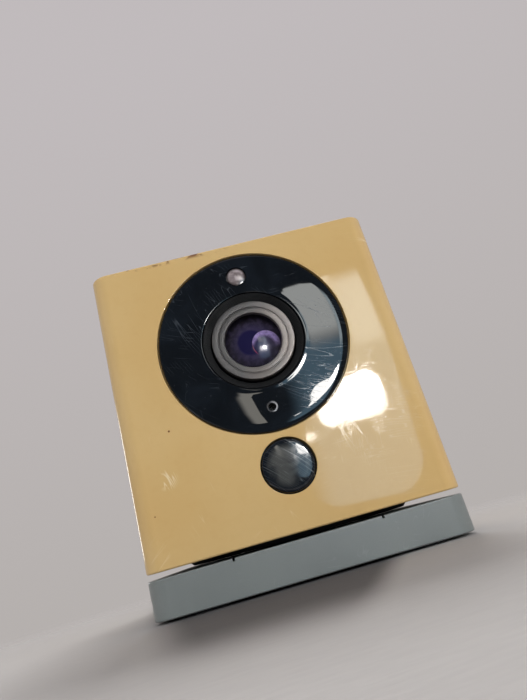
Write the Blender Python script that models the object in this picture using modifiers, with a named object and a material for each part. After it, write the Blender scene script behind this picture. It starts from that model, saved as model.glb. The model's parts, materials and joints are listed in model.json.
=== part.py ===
"""Cube security camera on a folding magnetic stand.

The camera stands upright on its folded stand. +Z is up, the lens looks along -Y, and the origin is
under the middle of the foot, on the surface that it stands on. Sizes in this file are millimetres,
and every helper turns them into metres as it builds.
"""

import math

import bpy
import bmesh
from mathutils import Matrix, Vector

MM = 0.001
MERGE = 0.00001          # merge distance of every turned profile, in metres

# Casing: a cube open underneath
CASING = 50.0            # width, depth and height
WALL = 2.0
SIDE_RADIUS = 3.0        # upright edges
TOP_RADIUS = 0.45
FIT = 0.3                # gap between fitted pieces
SLIM_FIT = 0.15          # gap between small concentric pieces
OVER = 1.0               # how far a cutter runs past the surface it opens

# Stand, from the floor up
PAD_PROUD = 0.4          # how far the rubber pads stand out of the foot
FOOT_HEIGHT = 5.7
GAP = 0.9                # open gap between foot and casing
FOOT_TOP = PAD_PROUD + FOOT_HEIGHT
CASING_BOTTOM = FOOT_TOP + GAP
CASING_TOP = CASING_BOTTOM + CASING
HALF = CASING / 2.0

# Hinges of the stand: both axes lie along X, inside the thickness of the foot
HINGE_INSET = 2.5        # from the foot's edge to the axis
HINGE_HEIGHT = 2.8
HINGE_Y = HALF - HINGE_INSET
KNUCKLE_RADIUS = 1.35
PIN_RADIUS = 0.6
RUNNING_FIT = 0.05
ARM_WIDTH = 24.0
LUG_WIDTH = 11.6         # the turntable's lug, between the arm's two knuckles

# Turntable
DISC_RADIUS = 21.4
DISC_BOTTOM = FOOT_TOP + FIT
DISC_THICKNESS = 1.5
DISC_TOP = DISC_BOTTOM + DISC_THICKNESS
BOSS_RADIUS = 4.0

# Bottom cover, set inside the casing's skirt
COVER_BOTTOM = DISC_TOP + FIT
COVER_TOP = COVER_BOTTOM + 1.6

# Face: lens, windows and their grooves
LENS_Z = CASING_BOTTOM + 31.6
FRONT_DISC_RADIUS = 15.93
GROOVE = 0.22            # dark ring between casing and inserts
BEZEL_RADIUS = 8.65
RING_RADIUS = 7.0
RING_OPENING = 4.75
FEATURE_OFFSET = 12.0    # light sensor above, microphone below the lens
MOTION_Z = CASING_BOTTOM + 10.0
MOTION_RADIUS = 4.2
FACE = HALF              # how far the casing's face lies in front of the middle

# Electronics
LED_CIRCLE = 12.3
LED_BOARD_REACH = 21.2   # front of the board with the infrared lights
MAIN_BOARD_Y = 1.0
PORT_BOARD_TOP = 15.5
SWITCH_BOTTOM = PORT_BOARD_TOP - 2.6
SPEAKER_Z = 40.5
BUTTON_X = 17.8
BUTTON_Y = 17.8
BUTTON_TRAVEL = 0.4      # the switch under the button gives this much
COVER_SCREW_X = 15.5
COVER_SCREW_Y = 8.0
FILTER_TRAVEL = 6.4

# Segments of round pieces
FACE_ROUND = 64
ROUND = 48
LENS_ROUND = 32
SMALL_ROUND = 24
SCREW_ROUND = 16

# Ports in the rear panel: lowest and highest corners of each socket
USB_LOW, USB_HIGH = (-14.5, 9.5, 15.8), (-1.4, 24.3, 21.5)
POWER_LOW, POWER_HIGH = (4.0, 18.2, 15.8), (11.5, 24.1, 18.6)
CARD_LOW, CARD_HIGH = (-7.0, 9.0, 12.4), (7.0, 21.3, 14.0)
CARD_SLOT_HALF, CARD_SLOT_LOW, CARD_SLOT_HIGH = 5.6, 12.75, 13.65
STATUS_X, STATUS_Z, STATUS_RADIUS = 14.5, 25.0, 1.0
BUTTON_RADIUS = 2.0


# ---------------------------------------------------------------------------------------------
# Scene, collections and materials
# ---------------------------------------------------------------------------------------------

def clear_scene():
    for item in list(bpy.data.objects):
        bpy.data.objects.remove(item, do_unlink=True)


def make_collection(name):
    collection = bpy.data.collections.new(name)
    bpy.context.scene.collection.children.link(collection)
    return collection


def make_material(name, color, roughness, metallic=0.0):
    material = bpy.data.materials.new(name)
    material.use_nodes = True
    shader = material.node_tree.nodes["Principled BSDF"]
    shader.inputs["Base Color"].default_value = (*color, 1.0)
    shader.inputs["Roughness"].default_value = roughness
    shader.inputs["Metallic"].default_value = metallic
    material.diffuse_color = (*color, 1.0)
    return material


clear_scene()
PARTS = make_collection("security_camera")
CUTTERS = make_collection("cutters")

IVORY = make_material("ivory_gloss_plastic", (0.56, 0.36, 0.15), 0.22)
GREY = make_material("grey_plastic", (0.20, 0.21, 0.20), 0.42)
DARK = make_material("dark_plastic", (0.02, 0.02, 0.022), 0.5)
GLOSS_BLACK = make_material("gloss_black", (0.008, 0.01, 0.014), 0.12)
RUBBER = make_material("rubber", (0.03, 0.03, 0.03), 0.8)
STEEL = make_material("steel", (0.55, 0.55, 0.56), 0.3, 1.0)
ALUMINIUM = make_material("aluminium", (0.5, 0.5, 0.5), 0.35, 1.0)
BRASS = make_material("brass", (0.6, 0.45, 0.2), 0.35, 1.0)
MAGNET = make_material("magnet", (0.4, 0.4, 0.42), 0.3, 1.0)
GLASS = make_material("glass", (0.12, 0.1, 0.22), 0.05)
RED_GLASS = make_material("filter_glass", (0.3, 0.05, 0.08), 0.05)
BOARD = make_material("circuit_board", (0.02, 0.12, 0.05), 0.45)
CHIP = make_material("chip", (0.02, 0.02, 0.02), 0.4)
CLEAR = make_material("clear_plastic", (0.6, 0.5, 0.5), 0.1)
FLEX = make_material("flexible_circuit", (0.45, 0.22, 0.03), 0.4)
FOAM = make_material("foam", (0.05, 0.05, 0.05), 0.9)


# ---------------------------------------------------------------------------------------------
# Helpers
# ---------------------------------------------------------------------------------------------

def place(name, mesh, material, centre, cutter=False):
    """Put a mesh in the scene as a part, or as a hidden cutter, with its origin at centre."""
    item = bpy.data.objects.new(name, mesh)
    item.location = Vector(centre) * MM
    if cutter:
        CUTTERS.objects.link(item)
        item.hide_render = True
        item.display_type = "WIRE"
    else:
        PARTS.objects.link(item)
        mesh.materials.append(material)
    return item


def mesh_from(name, model):
    mesh = bpy.data.meshes.new(name)
    model.to_mesh(mesh)
    model.free()
    return mesh


def soften(item, width, segments=2):
    """Round a piece's sharp edges."""
    bevel = item.modifiers.new("rounded_edges", "BEVEL")
    bevel.width = width * MM
    bevel.segments = segments
    bevel.limit_method = "ANGLE"
    bevel.angle_limit = math.radians(40.0)
    return item


def centre_and_size(low, high):
    centre = [(a + b) / 2.0 for a, b in zip(low, high)]
    size = [b - a for a, b in zip(low, high)]
    return centre, size


def box(name, low, high, material=None, edge=0.0, cutter=False):
    """A block between two corners, with its edges rounded by edge."""
    centre, size = centre_and_size(low, high)
    model = bmesh.new()
    bmesh.ops.create_cube(model, size=1.0, matrix=Matrix.Diagonal((*(s * MM for s in size), 1.0)))
    item = place(name, mesh_from(name, model), material, centre, cutter)
    if edge > 0.0:
        soften(item, edge)
    return item


def rounded_block(name, low, high, side, side_steps, rims, material=None, cutter=False):
    """A block whose upright edges have the radius side; rims gives (height, radius, steps)."""
    centre, size = centre_and_size(low, high)
    model = bmesh.new()
    bmesh.ops.create_cube(model, size=1.0, matrix=Matrix.Diagonal((*(s * MM for s in size), 1.0)))
    upright = [e for e in model.edges if abs(e.verts[0].co.z - e.verts[1].co.z) > MERGE]
    bmesh.ops.bevel(model, geom=upright, offset=side * MM, segments=side_steps, profile=0.5,
                    affect="EDGES")
    for height, radius, steps in rims:
        level = (height - centre[2]) * MM
        rim = [e for e in model.edges if all(abs(v.co.z - level) < MERGE for v in e.verts)]
        bmesh.ops.bevel(model, geom=rim, offset=radius * MM, segments=steps, profile=0.5,
                        affect="EDGES")
    return place(name, mesh_from(name, model), material, centre, cutter)


AXIS_TURN = {
    "X": Matrix.Rotation(math.pi / 2.0, 4, "Y"),
    "Y": Matrix.Rotation(-math.pi / 2.0, 4, "X"),
    "Z": Matrix.Identity(4),
}


def rods(name, axis, centres, radius, length, material=None, steps=SMALL_ROUND, cutter=False):
    """Equal cylinders along an axis, each given by its own centre; more than one is a cutter."""
    origin = Vector(centres[0])
    model = bmesh.new()
    for centre in centres:
        move = Matrix.Translation((Vector(centre) - origin) * MM)
        bmesh.ops.create_cone(model, cap_ends=True, segments=steps, radius1=radius * MM,
                              radius2=radius * MM, depth=length * MM,
                              matrix=move @ AXIS_TURN[axis])
    mesh = mesh_from(name, model)
    mesh.shade_smooth()
    mesh.set_sharp_from_angle(angle=math.radians(35.0))
    return place(name, mesh, material, origin, cutter)


def rod(name, axis, centre, radius, length, material=None, steps=SMALL_ROUND, cutter=False):
    return rods(name, axis, [centre], radius, length, material, steps, cutter)


FACING = {
    "up": (0.0, 0.0, 0.0),
    "front": (math.pi / 2.0, 0.0, 0.0),
    "side": (0.0, math.pi / 2.0, 0.0),
}


def turned(name, profile, centre, facing, material=None, steps=ROUND, ring=False, cutter=False):
    """Turn a profile of (radius, height) points, given down its outer side, about its axis.

    A ring's profile is closed. Facing front, a height is the distance in front of the middle.
    """
    mesh = bpy.data.meshes.new(name)
    points = [(r * MM, 0.0, h * MM) for r, h in profile]
    edges = [(i, i + 1) for i in range(len(points) - 1)]
    if ring:
        edges.append((len(points) - 1, 0))
    mesh.from_pydata(points, edges, [])
    item = place(name, mesh, material, centre, cutter)
    item.rotation_euler = FACING[facing]
    screw = item.modifiers.new("turn", "SCREW")
    screw.axis = "Z"
    screw.angle = 2.0 * math.pi
    screw.steps = steps
    screw.render_steps = steps
    screw.use_merge_vertices = True
    screw.merge_threshold = MERGE
    return item


def cut(item, *tools):
    for tool in tools:
        boolean = item.modifiers.new("cut_" + tool.name, "BOOLEAN")
        boolean.operation = "DIFFERENCE"
        boolean.object = tool
    return item


def join(item, *tools):
    for tool in tools:
        boolean = item.modifiers.new("add_" + tool.name, "BOOLEAN")
        boolean.operation = "UNION"
        boolean.object = tool
    return item


def joint_axis(name, position, parent=None):
    """An empty on a joint's axis, for the pieces that move about it."""
    empty = bpy.data.objects.new(name, None)
    empty.empty_display_size = 5.0 * MM
    empty.location = Vector(position) * MM
    PARTS.objects.link(empty)
    if parent is not None:
        attach(parent, empty)
    return empty


def world_origin(item):
    """Where an item's origin lies, following its parents, none of which is turned."""
    if item.parent is None:
        return item.location.copy()
    return world_origin(item.parent) + item.location


def attach(parent, *items):
    """Parent items to an empty and keep them where they are."""
    for item in items:
        item.location = item.location - world_origin(parent)
        item.parent = parent


def dome(rim_radius, rim_height, rise, steps):
    """Profile points of a shallow dome, from its top on the axis out to its rim."""
    sphere = (rim_radius ** 2 + rise ** 2) / (2.0 * rise)
    points = []
    for i in range(steps + 1):
        radius = rim_radius * i / steps
        drop = sphere - math.sqrt(sphere ** 2 - radius ** 2)
        points.append((radius, rim_height + rise - drop))
    return points


# ---------------------------------------------------------------------------------------------
# Foot
# ---------------------------------------------------------------------------------------------

PAD_X = 17.4             # middle of each side rail
PAD_WIDTH = 7.8
PAD_LENGTH = 47.0
PAD_THICKNESS = 1.0
POCKET_HALF = ARM_WIDTH / 2.0 + FIT
POCKET_FLOOR = 1.4
FRONT_WEB = 0.85         # wall in front of the arm's pocket
NOTCH_X = 11.6           # small notches in that wall's top edge
NOTCH_WIDTH = 0.4
NOTCH_DEPTH = 0.45
FOOT_TOP_EDGE = 0.4
FOOT_LOWER_EDGE = 0.3
GROOVE_REACH = 2.2       # room behind and in front of each knuckle
PIN_HOLE_FIT = 0.1
FOOT_PIN_LENGTH = 48.4
MAGNET_WIDTH = 6.4
MAGNET_LENGTH = 30.0
MAGNET_LOW = 1.6
MAGNET_HIGH = 4.2
MAGNET_SEAT_LOW = 0.9    # opens into the pad's seat


def stadium(name, x, width, length, low, high, material=None, cutter=False):
    """An upright strip along Y with round ends."""
    outline = ((x - width / 2.0, -length / 2.0, low), (x + width / 2.0, length / 2.0, high))
    return rounded_block(name, *outline, width / 2.0 - 0.02, 8, [], material, cutter)


def make_foot_plate():
    rims = [(FOOT_TOP, FOOT_TOP_EDGE, 2), (PAD_PROUD, FOOT_LOWER_EDGE, 1)]
    foot = rounded_block("foot_plate", (-HALF, -HALF, PAD_PROUD), (HALF, HALF, FOOT_TOP),
                         SIDE_RADIUS, 8, rims, GREY)
    web_back = -HALF + FRONT_WEB
    pocket = box("arm_pocket", (-POCKET_HALF, web_back, POCKET_FLOOR),
                 (POCKET_HALF, HALF + OVER, FOOT_TOP + OVER), cutter=True)
    groove_floor = HINGE_HEIGHT - KNUCKLE_RADIUS - FIT
    front_groove = box("front_knuckle_groove", (-POCKET_HALF, web_back, groove_floor),
                       (POCKET_HALF, -HINGE_Y + GROOVE_REACH, POCKET_FLOOR + OVER), cutter=True)
    rear_groove = box("rear_knuckle_groove", (-POCKET_HALF, HINGE_Y - GROOVE_REACH, groove_floor),
                      (POCKET_HALF, HALF + OVER, POCKET_FLOOR + OVER), cutter=True)
    cut(foot, pocket, front_groove, rear_groove)
    for side in (-1, 1):
        x = side * NOTCH_X
        notch = box(f"web_notch_{side}", (x - NOTCH_WIDTH / 2.0, -HALF - OVER, FOOT_TOP - NOTCH_DEPTH),
                    (x + NOTCH_WIDTH / 2.0, web_back + OVER, FOOT_TOP + OVER), cutter=True)
        pad_seat = stadium(f"pad_seat_{side}", side * PAD_X, PAD_WIDTH + 2 * SLIM_FIT,
                           PAD_LENGTH + 2 * SLIM_FIT, -OVER, PAD_THICKNESS + FIT, cutter=True)
        half_width = MAGNET_WIDTH / 2.0 + FIT
        half_length = MAGNET_LENGTH / 2.0 + FIT
        magnet_seat = box(f"magnet_seat_{side}",
                          (side * PAD_X - half_width, -half_length, MAGNET_SEAT_LOW),
                          (side * PAD_X + half_width, half_length, MAGNET_HIGH + FIT), cutter=True)
        cut(foot, notch, pad_seat, magnet_seat)
    pin_hole = rod("foot_pin_hole", "X", (0.0, -HINGE_Y, HINGE_HEIGHT), PIN_RADIUS + PIN_HOLE_FIT,
                   CASING + 2 * OVER, cutter=True)
    cut(foot, pin_hole)
    return foot


def make_foot_fittings():
    rod("foot_pin", "X", (0.0, -HINGE_Y, HINGE_HEIGHT), PIN_RADIUS, FOOT_PIN_LENGTH, STEEL)
    for label, side in (("left", -1), ("right", 1)):
        x = side * PAD_X
        box("magnet_" + label, (x - MAGNET_WIDTH / 2.0, -MAGNET_LENGTH / 2.0, MAGNET_LOW),
            (x + MAGNET_WIDTH / 2.0, MAGNET_LENGTH / 2.0, MAGNET_HIGH), MAGNET, edge=0.3)
        stadium("foot_pad_" + label, x, PAD_WIDTH, PAD_LENGTH, 0.0, PAD_THICKNESS, RUBBER)


# ---------------------------------------------------------------------------------------------
# Arm
# ---------------------------------------------------------------------------------------------

ARM_BOTTOM = POCKET_FLOOR + FIT
ARM_TOP = FOOT_TOP
ARM_EDGE = 0.3
ARM_END_INSET = 0.4      # from the arm's rear end to the hinge axis
NECK_LENGTH = 4.0        # thin stretch that lets the raised arm clear the foot's front web
NECK_TOP = HINGE_HEIGHT + 1.25
LUG_SLOT_DEPTH = 5.0
DISH_HALF_WIDTH = 8.0    # shallow finger dish in the arm's top
DISH_HALF_LENGTH = 10.0
DISH_DEPTH = 0.6
DISH_CORNER = 3.0


def make_arm():
    half = ARM_WIDTH / 2.0
    arm = box("stand_arm", (-half, -HINGE_Y + NECK_LENGTH, ARM_BOTTOM),
              (half, HINGE_Y - ARM_END_INSET, ARM_TOP), GREY, edge=ARM_EDGE)
    neck = box("arm_neck", (-half, -HINGE_Y, ARM_BOTTOM),
               (half, -HINGE_Y + NECK_LENGTH + OVER, NECK_TOP), cutter=True)
    front_knuckle = rod("arm_front_knuckle", "X", (0.0, -HINGE_Y, HINGE_HEIGHT), KNUCKLE_RADIUS,
                        ARM_WIDTH, cutter=True)
    rear_knuckle = rod("arm_rear_knuckle", "X", (0.0, HINGE_Y, HINGE_HEIGHT), KNUCKLE_RADIUS,
                       ARM_WIDTH, cutter=True)
    join(arm, neck, front_knuckle, rear_knuckle)
    slot_half = LUG_WIDTH / 2.0 + FIT
    slot = box("lug_slot", (-slot_half, HINGE_Y - LUG_SLOT_DEPTH, 0.0),
               (slot_half, HINGE_Y + KNUCKLE_RADIUS + OVER, ARM_TOP + OVER), cutter=True)
    bore_radius = PIN_RADIUS + RUNNING_FIT
    front_bore = rod("arm_front_bore", "X", (0.0, -HINGE_Y, HINGE_HEIGHT), bore_radius,
                     ARM_WIDTH + 2 * OVER, cutter=True)
    rear_bore = rod("arm_rear_bore", "X", (0.0, HINGE_Y, HINGE_HEIGHT), bore_radius,
                    ARM_WIDTH + 2 * OVER, cutter=True)
    finger_dish = rounded_block("finger_dish",
                                (-DISH_HALF_WIDTH, -DISH_HALF_LENGTH, ARM_TOP - DISH_DEPTH),
                                (DISH_HALF_WIDTH, DISH_HALF_LENGTH, ARM_TOP + OVER),
                                DISH_CORNER, 4, [], cutter=True)
    cut(arm, slot, front_bore, rear_bore, finger_dish)
    pin = rod("head_pin", "X", (0.0, HINGE_Y, HINGE_HEIGHT), PIN_RADIUS, ARM_WIDTH - 2 * FIT, STEEL)
    return arm, pin


# ---------------------------------------------------------------------------------------------
# Turntable
# ---------------------------------------------------------------------------------------------

BOSS_TOP = COVER_TOP + 0.6
WASHER_THICKNESS = 0.6
FRICTION_THICKNESS = 0.3
DISC_CHAMFER = 0.9       # keeps the tilting disc clear of the foot's edge
SCREW_BORE = 0.95
BORE_FLOOR = DISC_BOTTOM + 0.5
LUG_REACH = 4.0          # from the hinge axis forward
LUG_BOTTOM = HINGE_HEIGHT - 1.1
LUG_OVERLAP = 0.6        # how far the lug runs up into the disc


def make_turntable():
    profile = [(0.0, BORE_FLOOR), (SCREW_BORE, BORE_FLOOR), (SCREW_BORE, BOSS_TOP),
               (BOSS_RADIUS, BOSS_TOP), (BOSS_RADIUS, DISC_TOP), (DISC_RADIUS, DISC_TOP),
               (DISC_RADIUS, DISC_BOTTOM + DISC_CHAMFER),
               (DISC_RADIUS - DISC_CHAMFER, DISC_BOTTOM), (0.0, DISC_BOTTOM)]
    disc = turned("turntable_disc", profile, (0.0, 0.0, 0.0), "up", DARK)
    half = LUG_WIDTH / 2.0
    lug = box("lug", (-half, HINGE_Y - LUG_REACH, LUG_BOTTOM),
              (half, HINGE_Y, DISC_BOTTOM + LUG_OVERLAP), cutter=True)
    knuckle = rod("lug_knuckle", "X", (0.0, HINGE_Y, HINGE_HEIGHT), KNUCKLE_RADIUS, LUG_WIDTH,
                  cutter=True)
    bore = rod("lug_bore", "X", (0.0, HINGE_Y, HINGE_HEIGHT), PIN_RADIUS + RUNNING_FIT,
               LUG_WIDTH + 2 * OVER, cutter=True)
    join(disc, lug, knuckle)
    cut(disc, bore)
    return disc


def make_swivel_fittings():
    low = BOSS_TOP + FIT
    high = low + WASHER_THICKNESS
    outer, bore = 7.0, 1.1
    washer = turned("swivel_washer", [(outer, high), (outer, low), (bore, low), (bore, high)],
                    (0.0, 0.0, 0.0), "up", STEEL, LENS_ROUND, ring=True)
    friction_low = COVER_TOP + FIT
    friction_high = friction_low + FRICTION_THICKNESS
    outer, bore = 6.6, BOSS_RADIUS + FIT
    friction = turned("friction_washer", [(outer, friction_high), (outer, friction_low),
                                          (bore, friction_low), (bore, friction_high)],
                      (0.0, 0.0, 0.0), "up", BRASS, LENS_ROUND, ring=True)
    head_low = high + FIT
    screw = machine_screw("swivel_screw", (0.0, 0.0), head_low, 2.6, 1.3, 0.8,
                          head_low - BORE_FLOOR - FIT, head_up=True)
    return washer, friction, screw


def machine_screw(name, place_xy, head_low, head_radius, head_height, shank_radius, shank_length,
                  head_up):
    """A pan-head screw with a cross recess, its head above or below its shank."""
    sign = 1.0 if head_up else -1.0
    crown = sign * head_height
    profile = [(0.0, crown), (head_radius * 0.75, crown), (head_radius, crown * 0.55),
               (head_radius, 0.0), (shank_radius, 0.0), (shank_radius, -sign * (shank_length - 0.4)),
               (shank_radius * 0.5, -sign * shank_length), (0.0, -sign * shank_length)]
    if not head_up:
        profile.reverse()
    screw = turned(name, profile, (*place_xy, head_low), "up", STEEL, SCREW_ROUND)
    depth = head_height * 0.55
    arm, thin = head_radius * 0.6, head_radius * 0.16
    floor, past = sign * (head_height - depth), sign * (head_height + OVER)
    low, high = head_low + min(floor, past), head_low + max(floor, past)
    x, y = place_xy
    across = box(name + "_recess_x", (x - arm, y - thin, low), (x + arm, y + thin, high), cutter=True)
    along = box(name + "_recess_y", (x - thin, y - arm, low), (x + thin, y + arm, high), cutter=True)
    cut(screw, across, along)
    return screw


# ---------------------------------------------------------------------------------------------
# Head: casing and covers
# ---------------------------------------------------------------------------------------------

DISC_RECESS = 1.3        # depth of the front disc's seat
LEDGE_RADIUS = 14.6      # opening behind the disc
PANEL_HALF = 17.7        # rear panel
PANEL_LOW = 11.3
PANEL_HIGH = 52.7
PANEL_BACK = HALF - 3.3  # inner side of its flange
PANEL_FLANGE = 1.3       # flange width, behind the casing's wall
FLANGE_THICKNESS = 1.0
WINDOW_CORNER = 2.0
STEP_CORNER = 1.0
CASING_LOWER_EDGE = 0.3
GRILLE_PITCH = 3.4       # between rings of speaker holes
GRILLE_HOLE = 0.8


def make_casing():
    rims = [(CASING_TOP, TOP_RADIUS, 3), (CASING_BOTTOM, CASING_LOWER_EDGE, 1)]
    casing = rounded_block("casing", (-HALF, -HALF, CASING_BOTTOM), (HALF, HALF, CASING_TOP),
                           SIDE_RADIUS, 8, rims, IVORY)
    inner = HALF - WALL
    hollow = rounded_block("casing_hollow", (-inner, -inner, CASING_BOTTOM - OVER),
                           (inner, inner, CASING_TOP - WALL), SIDE_RADIUS - WALL, 3, [], cutter=True)
    seat = rod("disc_seat", "Y", (0.0, -FACE, LENS_Z), FRONT_DISC_RADIUS + GROOVE, DISC_RECESS * 2,
               steps=FACE_ROUND, cutter=True)
    opening = rod("disc_opening", "Y", (0.0, -FACE, LENS_Z), LEDGE_RADIUS, WALL * 4,
                  steps=LENS_ROUND, cutter=True)
    motion_hole = rod("motion_hole", "Y", (0.0, -FACE, MOTION_Z), MOTION_RADIUS + GROOVE, WALL * 4,
                      steps=ROUND, cutter=True)
    window = box("rear_window", (-PANEL_HALF - FIT, HALF - WALL * 2, PANEL_LOW - FIT),
                 (PANEL_HALF + FIT, HALF + OVER, PANEL_HIGH + FIT), cutter=True)
    corner = window.modifiers.new("window_corners", "BEVEL")
    corner.width = WINDOW_CORNER * MM
    corner.segments = 4
    cut(casing, hollow, seat, opening, motion_hole, window)
    return casing


def port_opening(name, low, high, margin):
    """A cutter through the rear panel, a margin wider than the socket behind it."""
    return box(name, (low[0] - margin, PANEL_BACK - OVER, low[2] - margin),
               (high[0] + margin, HALF + OVER, high[2] + margin), cutter=True)


def make_rear_panel():
    """The panel behind the casing's rear window: speaker grille and ports."""
    flange_low = COVER_TOP + 2 * FIT
    panel = box("rear_panel", (-PANEL_HALF - PANEL_FLANGE, PANEL_BACK, flange_low),
                (PANEL_HALF + PANEL_FLANGE, PANEL_BACK + FLANGE_THICKNESS, PANEL_HIGH + PANEL_FLANGE),
                GREY)
    step = box("panel_step", (-PANEL_HALF, PANEL_BACK + FIT, PANEL_LOW),
               (PANEL_HALF, HALF - FIT, PANEL_HIGH), cutter=True)
    corner = step.modifiers.new("step_corners", "BEVEL")
    corner.width = STEP_CORNER * MM
    corner.segments = 3
    join(panel, step)
    holes = []
    for ring, count in ((0, 1), (1, 6), (2, 12)):
        for i in range(count):
            angle = 2.0 * math.pi * i / count
            reach = GRILLE_PITCH * ring
            holes.append((reach * math.cos(angle), HALF, SPEAKER_Z + reach * math.sin(angle)))
    grille = rods("grille_holes", "Y", holes, GRILLE_HOLE, 12.0, steps=8, cutter=True)
    cut(panel, grille)
    cut(panel, port_opening("usb_opening", USB_LOW, USB_HIGH, FIT),
        port_opening("power_opening", POWER_LOW, POWER_HIGH, FIT),
        port_opening("card_opening", (-CARD_SLOT_HALF, 0.0, CARD_SLOT_LOW),
                     (CARD_SLOT_HALF, 0.0, CARD_SLOT_HIGH), FIT))
    light_hole = rod("status_hole", "Y", (STATUS_X, HALF, STATUS_Z), STATUS_RADIUS + SLIM_FIT, 12.0,
                     cutter=True)
    cut(panel, light_hole)
    return panel


def make_bottom_cover():
    half = HALF - WALL - FIT
    cover = rounded_block("bottom_cover", (-half, -half, COVER_BOTTOM), (half, half, COVER_TOP),
                          0.8, 3, [], GREY)
    bore = rod("swivel_bore", "Z", (0.0, 0.0, COVER_TOP), BOSS_RADIUS + 0.08, 6.0, steps=ROUND,
               cutter=True)
    button_hole = rod("button_hole", "Z", (BUTTON_X, BUTTON_Y, COVER_TOP), BUTTON_RADIUS + SLIM_FIT,
                      6.0, cutter=True)
    screw_places = [(side * COVER_SCREW_X, COVER_SCREW_Y, COVER_BOTTOM) for side in (-1, 1)]
    sinks = rods("screw_sinks", "Z", screw_places, 2.1, 2.0, cutter=True)
    clearances = rods("screw_clearances", "Z", screw_places, 1.0, 8.0, steps=16, cutter=True)
    cut(cover, bore, button_hole, sinks, clearances)
    return cover


# ---------------------------------------------------------------------------------------------
# Head: face inserts
# ---------------------------------------------------------------------------------------------

def make_front_disc():
    front, back = FACE - 0.05, FACE - 1.05
    edge = 0.12
    disc = turned("front_disc", [(FRONT_DISC_RADIUS - edge, front), (FRONT_DISC_RADIUS, front - edge),
                                 (FRONT_DISC_RADIUS, back), (BEZEL_RADIUS, back),
                                 (BEZEL_RADIUS, front)],
                  (0.0, 0.0, LENS_Z), "front", GLOSS_BLACK, FACE_ROUND, ring=True)
    window_hole = rod("light_window_hole", "Y", (0.0, -FACE, LENS_Z + FEATURE_OFFSET), 1.75, 6.0,
                      cutter=True)
    mic_hole = rod("microphone_hole", "Y", (0.0, -FACE, LENS_Z - FEATURE_OFFSET), 0.7, 6.0, steps=20,
                   cutter=True)
    cut(disc, window_hole, mic_hole)
    return disc


def make_windows():
    light = dome(1.6, FACE - 0.2, 0.15, 2)
    light += [(1.6, FACE - 1.4), (2.3, FACE - 1.4), (2.3, FACE - 2.1), (0.0, FACE - 2.1)]
    light_window = turned("light_window", light, (0.0, 0.0, LENS_Z + FEATURE_OFFSET), "front", CLEAR,
                          SMALL_ROUND)
    motion = dome(MOTION_RADIUS, FACE - 0.3, 0.25, 3)
    motion += [(MOTION_RADIUS, FACE - 2.3), (5.1, FACE - 2.3), (5.1, FACE - 3.0), (0.0, FACE - 3.0)]
    motion_window = turned("motion_window", motion, (0.0, 0.0, MOTION_Z), "front", GLOSS_BLACK, ROUND)
    return light_window, motion_window


# ---------------------------------------------------------------------------------------------
# Head: lens assembly
# ---------------------------------------------------------------------------------------------

HOLDER_BACK = 7.6        # every reach below is measured in front of the camera's middle
SLIDER_REACH = (9.9, 10.9)


def lens_axis(name, profile, material, steps=LENS_ROUND, ring=True):
    return turned(name, profile, (0.0, 0.0, LENS_Z), "front", material, steps, ring)


def make_lens_fronts():
    outer = BEZEL_RADIUS - SLIM_FIT
    throat = RING_RADIUS + FIT
    bezel = lens_axis("lens_bezel", [(outer, FACE - 0.1), (outer, FACE - 1.6), (9.5, FACE - 1.6),
                                     (9.5, FACE - 3.2), (throat, FACE - 3.2), (throat, FACE - 1.3),
                                     (outer - 0.12, FACE - 0.1)], DARK, ROUND)
    ring = lens_axis("lens_ring", [(RING_RADIUS - 0.15, FACE - 0.15), (RING_RADIUS, FACE - 0.3),
                                   (RING_RADIUS, FACE - 1.1), (RING_OPENING + 0.2, FACE - 1.1),
                                   (RING_OPENING, FACE - 0.6), (RING_OPENING + 0.25, FACE - 0.15)],
                     ALUMINIUM, ROUND)
    return bezel, ring


def make_lens_barrel():
    return lens_axis("lens_barrel", [(RING_RADIUS, FACE - 1.4), (RING_RADIUS, FACE - 4.4),
                                     (6.0, FACE - 4.4), (6.0, 11.8), (3.0, 11.8), (3.6, 12.4),
                                     (3.6, 17.2), (4.4, 17.2), (4.4, 21.2), (5.6, 21.2),
                                     (5.6, FACE - 1.4)], DARK)


def lens_element(name, radius, front, back, front_rise, back_rise):
    """A lens with domed faces, its rim between front and back."""
    profile = dome(radius, front, front_rise, 4)
    rear = [(r, 2.0 * back - h) for r, h in dome(radius, back, back_rise, 2)]
    rear.reverse()
    return lens_axis(name, profile + rear, GLASS, LENS_ROUND if radius > 5.0 else SMALL_ROUND,
                     ring=False)


def make_lenses():
    lens_element("front_lens", 5.35, FACE - 2.4, FACE - 3.5, 0.9, 0.1)
    lens_element("middle_lens", 4.15, 19.9, 18.7, 0.4, 0.4)
    lens_element("rear_lens", 3.35, 15.9, 14.7, 0.3, 0.3)


def make_lens_holder():
    holder = box("lens_holder", (-11.2, -13.0, LENS_Z - 6.6), (11.2, -HOLDER_BACK, LENS_Z + 6.6), DARK,
                 edge=0.4)
    collar = rod("holder_collar", "Y", (0.0, -15.5, LENS_Z), 7.8, 6.2, steps=LENS_ROUND,
                 cutter=True)
    bore = rod("holder_bore", "Y", (0.0, -15.5, LENS_Z), 6.1, 9.0, steps=LENS_ROUND, cutter=True)
    pocket = box("filter_pocket", (-10.1, -11.3, LENS_Z - 5.0), (10.1, -6.0, LENS_Z + 5.0),
                 cutter=True)
    join(holder, collar)
    cut(holder, bore, pocket)
    return holder


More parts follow.
